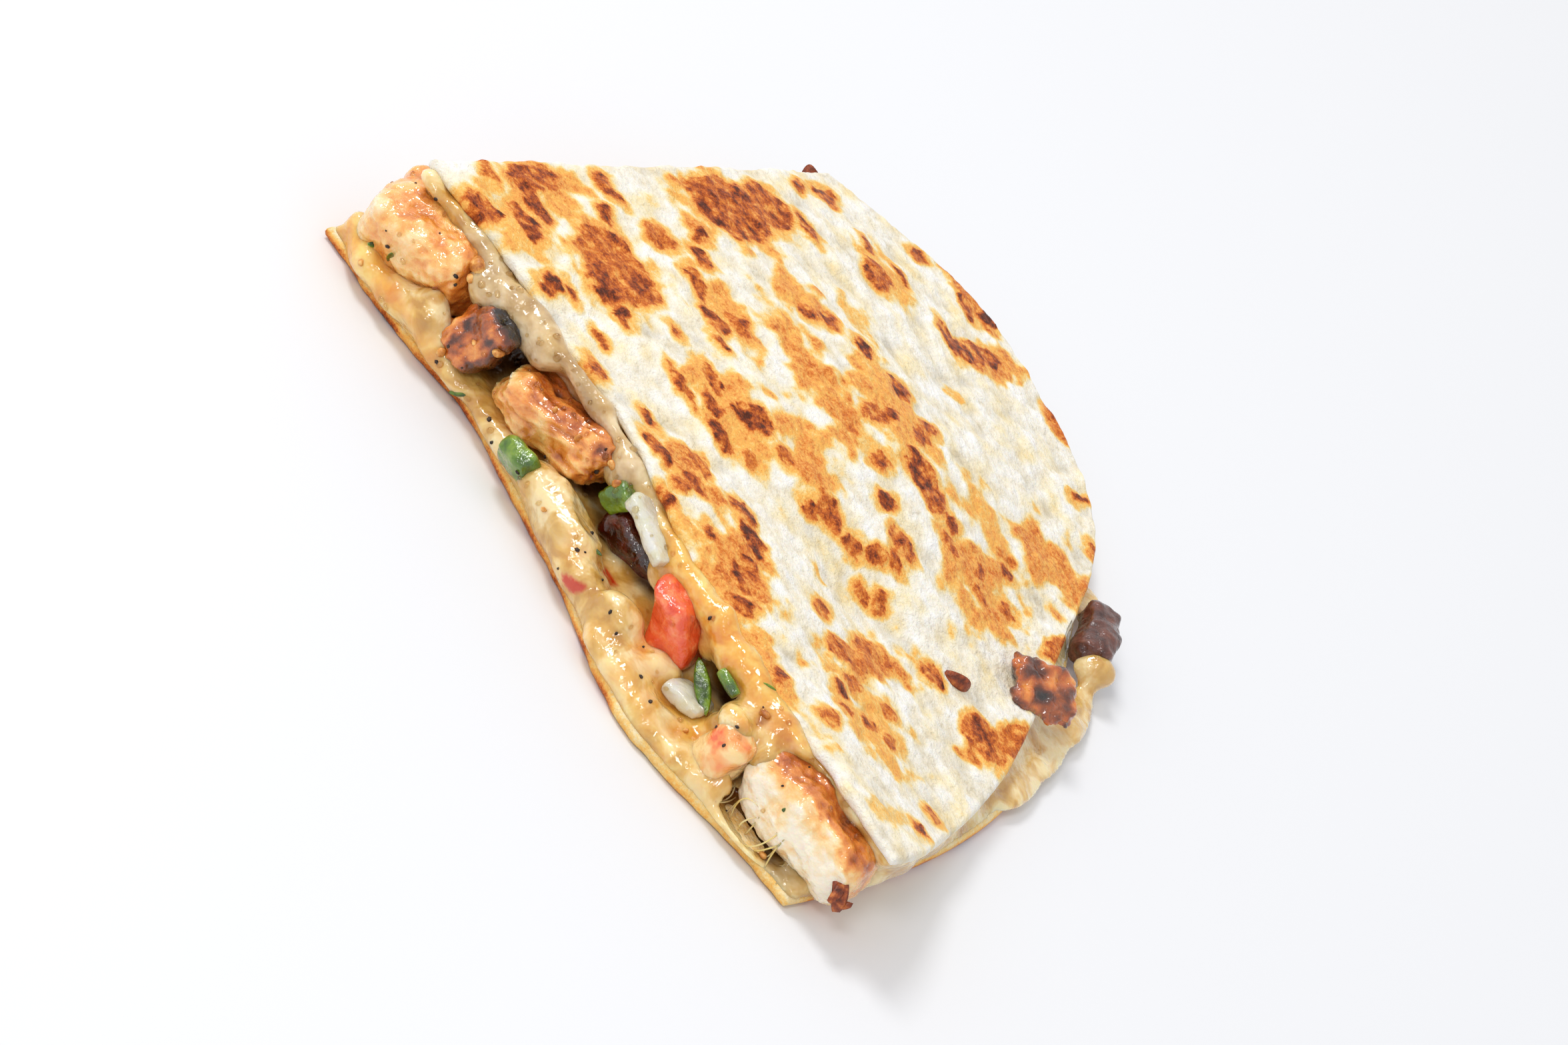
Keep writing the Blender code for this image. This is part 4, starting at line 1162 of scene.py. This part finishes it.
upper = bread_sheet("top_bread", upper_bread_point, upper_top, upper_underside,
                    UPPER_TOP_CELLS, UPPER_BOTTOM_CELLS, UPPER_TOP_CELLS)
x, y, z = mesh_points(upper)
toast = browning(x, y)
set_points(upper, x, y, z + BROWNED_RISE * toast * (mesh_normals(upper)[2] > 0.3))
store(upper, "toast", toast)
# Painted shade: the relief's low places are stored to come out darker
store(upper, "relief_shade", np.clip(0.55 + 0.9 * upper_relief(x, y), 0.0, 1.0))
coat(upper, BREAD)
stand_for(upper, "upper_tortilla")


# ------------------------------------------------------------- rim pieces
# A slice of mushroom squeezed out at the rim, and a scrap of burnt cheese and meat that fried fast
# onto the top.
MUSHROOM_WAVES = ((4.0, 0.9), (1.6, 0.35))
SCRAP_SINK = 0.5
MUSHROOM = wet_material("mushroom", (
    (0.30, seen(62, 24, 16)), (0.55, seen(98, 50, 36)), (0.75, seen(134, 78, 58))),
    size=2.0, roughness=0.25, scatter=0.8, radius=(1.0, 0.5, 0.4))
MUSHROOM.node_tree.nodes["Principled BSDF"].inputs["Coat Weight"].default_value = 0.35
soft_piece("mushroom_rim", MUSHROOM, MUSHROOM_WAVES, voxel=0.35, smoothing=30, swell=0.5, seed=80)

scrap = filling("crisp_scrap", voxel=0.3, smoothing=1)
x, y, z = mesh_points(scrap)
push_out(scrap, 0.7 * grain(x, y, z, 2.2, 82.0) + 0.35 * grain(x, y, z, 0.9, 83.0))
x, y, z = mesh_points(scrap)
set_points(scrap, x, y, z - SCRAP_SINK)
store(scrap, "sear_and_shade", 0.70 + 0.40 * grain(x, y, z, 2.4, 84.0))
coat(scrap, MEAT)
stand_for(scrap, "crisp_scrap")


# ------------------------------------------------------------- black pepper
# Coarsely ground pepper that went in with the meat. The grains stick to the wet cheese and meat of
# both cuts, some in places of their own and the rest strewn by chance.
PEPPER_ON_FRONT = ((6.5, 7.5), (19.0, 12.0), (39.0, 4.5), (42.0, 3.0), (48.0, 3.5), (63.0, 0.5),
                   (73.0, 3.0), (76.0, 2.0), (96.0, 6.0), (109.0, 9.0), (27.0, 3.0), (34.0, 2.5))
MORE_ON_FRONT = 26
MORE_ON_SIDE = 30
GRAIN_SIZES = (0.45, 1.15)
# Small things come to rest against the cuts along these directions
INTO_FRONT = Vector((-0.506, 1.0, -0.754)).normalized()
INTO_SIDE = Vector((1.0, 0.25, -0.45)).normalized()
START_BACK = 60.0
FRONT_LEAN = 0.33
# Where things may be strewn: from and to along each cut, and from and to in height
FRONT_SPAN = (2.0, 122.0)
FRONT_HEIGHTS = (0.5, 16.0)
SIDE_SPAN = (2.0, 108.0)
SIDE_HEIGHTS = (1.0, 13.0)

bpy.context.view_layer.update()
depsgraph = bpy.context.evaluated_depsgraph_get()
crowd = [piece for piece in bpy.context.scene.objects
         if piece.type == "MESH" and not piece.hide_render and piece.name != "table"]
skins = [(BVHTree.FromObject(piece, depsgraph), "bread" in piece.name) for piece in crowd]
chance = np.random.default_rng(5)


def land(start, into, lift, bread_too=False):
    """Where something meets the food, lifted off its skin; None past it, or on bread unless bread_too."""
    origin = in_frame(start) - into * START_BACK * MM
    nearest = 2.0 * START_BACK * MM
    landed = None
    for skin, is_bread in skins:
        place, normal, _, distance = skin.ray_cast(origin, into, nearest)
        if place is not None:
            nearest = distance
            out = normal if normal.dot(into) < 0.0 else -normal
            landed = None if is_bread and not bread_too else (place - CORNER) / MM + out * lift
    return landed


def on_front(x, z, lift=0.0, bread_too=False):
    """A place on the front cut, x along it and z up, as one looks at it from above."""
    return land((x, FRONT_LEAN * z, z), INTO_FRONT, lift, bread_too)


def on_side(y, z):
    """A place on the side cut, y along it and z up."""
    return land((0.0, y, z), INTO_SIDE, 0.0)


def cut_places(on_front_count, on_side_count):
    """Places strewn over both cuts."""
    places = [on_front(chance.uniform(*FRONT_SPAN), chance.uniform(*FRONT_HEIGHTS))
              for _ in range(on_front_count)]
    places += [on_side(chance.uniform(*SIDE_SPAN), chance.uniform(*SIDE_HEIGHTS))
               for _ in range(on_side_count)]
    return [place for place in places if place is not None]


def any_turn():
    return tuple(chance.uniform(0, 360, 3))


def small_piece(name, parts, material):
    """Many small things of one kind, as one piece of the food."""
    piece = joined(name, parts)
    coat(piece, material)
    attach(piece, "root")
    return piece


def grain_material(name, stops, size, roughness):
    """A dry, rough crumb or grain, mottled over size millimetres."""
    material, tree, shader = new_material(name, Roughness=roughness)
    tree.links.new(ramp(tree, speckle(tree, size, 3.0, 0.6), stops), shader.inputs["Base Color"])
    bump(tree, shader, speckle(tree, 0.5, 3.0), 0.25, 0.8)
    return material


places = [on_front(x, z) for x, z in PEPPER_ON_FRONT] + cut_places(MORE_ON_FRONT, MORE_ON_SIDE)
GROUND_PEPPER = grain_material("ground_pepper", (
    (0.35, seen(20, 14, 10)), (0.55, seen(48, 34, 24)), (0.70, seen(96, 70, 44))), size=0.6, roughness=0.5)
small_piece("pepper_grains", [
    ball_mesh(place, chance.uniform(*GRAIN_SIZES) * np.array((1.0, 0.8, 0.6)), any_turn(), 1)
    for place in places if place is not None], GROUND_PEPPER)


# ------------------------------------------------------------- herbs
# A leaf of coriander and a piece of its stem, wilted by the heat in a hole of the cheese, and
# flecks of the same that were chopped fine.
HERB = wet_material("herb", (
    (0.34, seen(26, 44, 2)), (0.50, seen(66, 96, 8)), (0.66, seen(126, 156, 30))),
    size=2.6, roughness=0.3, scatter=0.5, radius=(0.6, 1.0, 0.3))
HERB.node_tree.nodes["Principled BSDF"].inputs["Coat Weight"].default_value = 0.25
STRAND_STEPS = 10
STRAND_SIDES = 8
LEAF_THICKNESS = 0.25
HERB_FLECKS = (6, 9)
FLECK_WIDTHS = (0.5, 1.1)


def strand(start, end, wide, thick, bend=(0.0, 0.0, 0.0), out=(0.5, -0.7, 0.5), ends=0.2):
    """A leaf, stem or thread from one place to another: thickest in the middle."""
    start, end, out = Vector(start), Vector(end), Vector(out).normalized()
    across = (end - start).cross(out).normalized()
    over = across.cross(end - start).normalized()
    points, faces = [], []
    for step in range(STRAND_STEPS + 1):
        share = step / STRAND_STEPS
        middle = start.lerp(end, share) + Vector(bend) * 4.0 * share * (1.0 - share)
        full = ends + (1.0 - ends) * math.sin(math.pi * share) ** 0.7
        for side in range(STRAND_SIDES):
            angle = 2.0 * math.pi * side / STRAND_SIDES
            points.append(middle + across * math.cos(angle) * wide / 2.0 * full
                          + over * math.sin(angle) * thick / 2.0 * full)
    for step in range(STRAND_STEPS):
        for side in range(STRAND_SIDES):
            a = step * STRAND_SIDES + side
            b = step * STRAND_SIDES + (side + 1) % STRAND_SIDES
            faces.append([a, a + STRAND_SIDES, b + STRAND_SIDES, b])
    faces.append(list(range(STRAND_SIDES)))
    faces.append([STRAND_STEPS * STRAND_SIDES + side for side in reversed(range(STRAND_SIDES))])
    return np.array(points), faces


leaf_ends = on_front(87.0, 10.2, 0.4), on_front(93.8, 5.8, 0.4)
herbs = [strand(*leaf_ends, wide=2.4, thick=LEAF_THICKNESS, bend=(0.2, -0.5, 0.4), ends=0.03)]
for place in cut_places(*HERB_FLECKS):
    reach = Vector(chance.normal(0, 0.6, 3)) + Vector((0.6, -0.2, 0.4))
    herbs.append(strand(place - reach, place + reach, chance.uniform(*FLECK_WIDTHS), LEAF_THICKNESS))
small_piece("herb_pieces", herbs, HERB)
stem = on_front(92.8, 11.8, 1.1)
stem_reach = Vector((2.1, 0.0, -0.2))
stem_strand = strand(stem - stem_reach, stem + stem_reach, wide=1.9, thick=1.7, ends=0.8)
small_piece("herb_stem", [stem_strand], PEPPER)


# ------------------------------------------------------------- crumbs
# Crumbs of fried cheese and meat that broke off at the cuts, and the crisp curls where cheese
# burnt onto the bread's edge.
CRUMB = grain_material("fried_crumb", (
    (0.35, seen(168, 92, 32)), (0.52, seen(216, 142, 62)), (0.68, seen(244, 196, 118))),
    size=1.4, roughness=0.35)
BURNT = grain_material("burnt_crumb", (
    (0.32, seen(84, 32, 14)), (0.52, seen(150, 66, 26)), (0.70, seen(206, 118, 52))),
    size=1.2, roughness=0.4)
# Larger crumbs: place along the front cut, height and size
CRUMBS = ((20.0, 15.4, 3.2), (32.0, 11.0, 2.0), (26.4, 4.4, 1.6), (99.6, 12.6, 1.6), (55.0, 3.6, 1.2))
SMALL_CRUMBS = (10, 16)
CRUMB_SIZES = (0.7, 1.8)
# Curls: start, end, width and bend
CURLS = (
    ((5.4, 100.2, 9.6), (6.8, 99.0, 12.2), 2.8, (0.5, 0.6, 0.4)),
    ((7.6, 100.0, 9.6), (8.8, 100.8, 11.8), 2.4, (-0.6, 0.2, 0.3)),
    ((3.8, 99.8, 9.8), (3.6, 101.4, 12.0), 2.4, (-0.3, 0.4, 0.4)),
    ((9.6, 99.8, 9.4), (11.6, 99.0, 11.2), 2.0, (0.3, 0.6, 0.2)),
    ((123.6, 2.6, 9.8), (128.4, 1.4, 5.6), 2.4, (0.9, -0.8, 0.6)),
    ((125.0, 3.4, 9.0), (127.4, -0.6, 7.0), 1.6, (0.5, -0.4, 0.6)),
    ((126.0, 1.6, 6.6), (129.0, 2.6, 7.6), 1.6, (0.2, -0.6, -0.5)),
    ((95.4, 53.6, 8.8), (98.4, 57.4, 8.0), 2.2, (0.8, 0.0, 0.5)),
)


def crumb(place, size):
    """A lump with an uneven skin."""
    points, faces = ball_mesh(place, size * np.array((1.0, 0.8, 0.7)), any_turn(), 2)
    offset = points - np.asarray(place)
    waves = grain(*points.T, 0.6 * size, seed=90.0)
    return np.asarray(place) + offset * (1.0 + 0.6 * waves[:, None]), faces


crumbs = [crumb(on_front(x, z, 0.3), size) for x, z, size in CRUMBS]
crumbs += [crumb(place, chance.uniform(*CRUMB_SIZES)) for place in cut_places(*SMALL_CRUMBS)]
small_piece("crumbs", crumbs, CRUMB)
small_piece("burnt_curls", [strand(start, end, wide, thick=0.5, bend=bend, ends=0.45)
                            for start, end, wide, bend in CURLS], BURNT)


# ------------------------------------------------------------- cheese threads
# Threads that the cheese drew out as the quarters were pulled apart. They span the dark gap under
# the last chunk of chicken.
THREADS = 12
FIRST_THREAD = 104.0
THREAD_SPACING = 1.4
THREAD_FEET = (0.0, 1.4)
THREAD_HEADS = (3.0, 5.2)
threads = []
for number in range(THREADS):
    place = FIRST_THREAD + THREAD_SPACING * number + chance.uniform(-0.5, 0.5)
    low = on_front(place, chance.uniform(*THREAD_FEET), bread_too=True)
    high = on_front(place + chance.uniform(-2.5, 2.5), chance.uniform(*THREAD_HEADS), bread_too=True)
    threads.append(strand(low, high, wide=0.26, thick=0.22, bend=chance.normal(0.0, 0.7, 3), ends=0.8))
threads = small_piece("cheese_threads", threads, CHEESE)
store(threads, "oil", np.full(len(threads.data.vertices), 0.5))


# ------------------------------------------------------------- fat drops
# Clear drops of fat and juice that oozed out in the heat. They stand on the thin cheese along the
# upper bread's front edge, and on cheese and meat at both cuts.
DROPS_ON_DRAPE = 50
DROPS_AT_CUTS = (70, 40)
DRAPE_SPAN = (20.0, 64.0)
DRAPE_HEIGHTS = (12.5, 19.0)
DROP_SIZES = (0.5, 1.3)
FAT = new_material("clear_fat", Roughness=0.03, IOR=1.42, Transmission_Weight=1.0,
                   Base_Color=seen(255, 240, 205))[0]
places = [on_front(chance.uniform(*DRAPE_SPAN), chance.uniform(*DRAPE_HEIGHTS))
          for _ in range(DROPS_ON_DRAPE)]
places = [place for place in places if place is not None] + cut_places(*DROPS_AT_CUTS)
drops = [ball_mesh(place, np.full(3, chance.uniform(*DROP_SIZES)) * (1.0, 1.0, 0.7), any_turn(), 2)
         for place in places]
small_piece("fat_drops", drops, FAT)
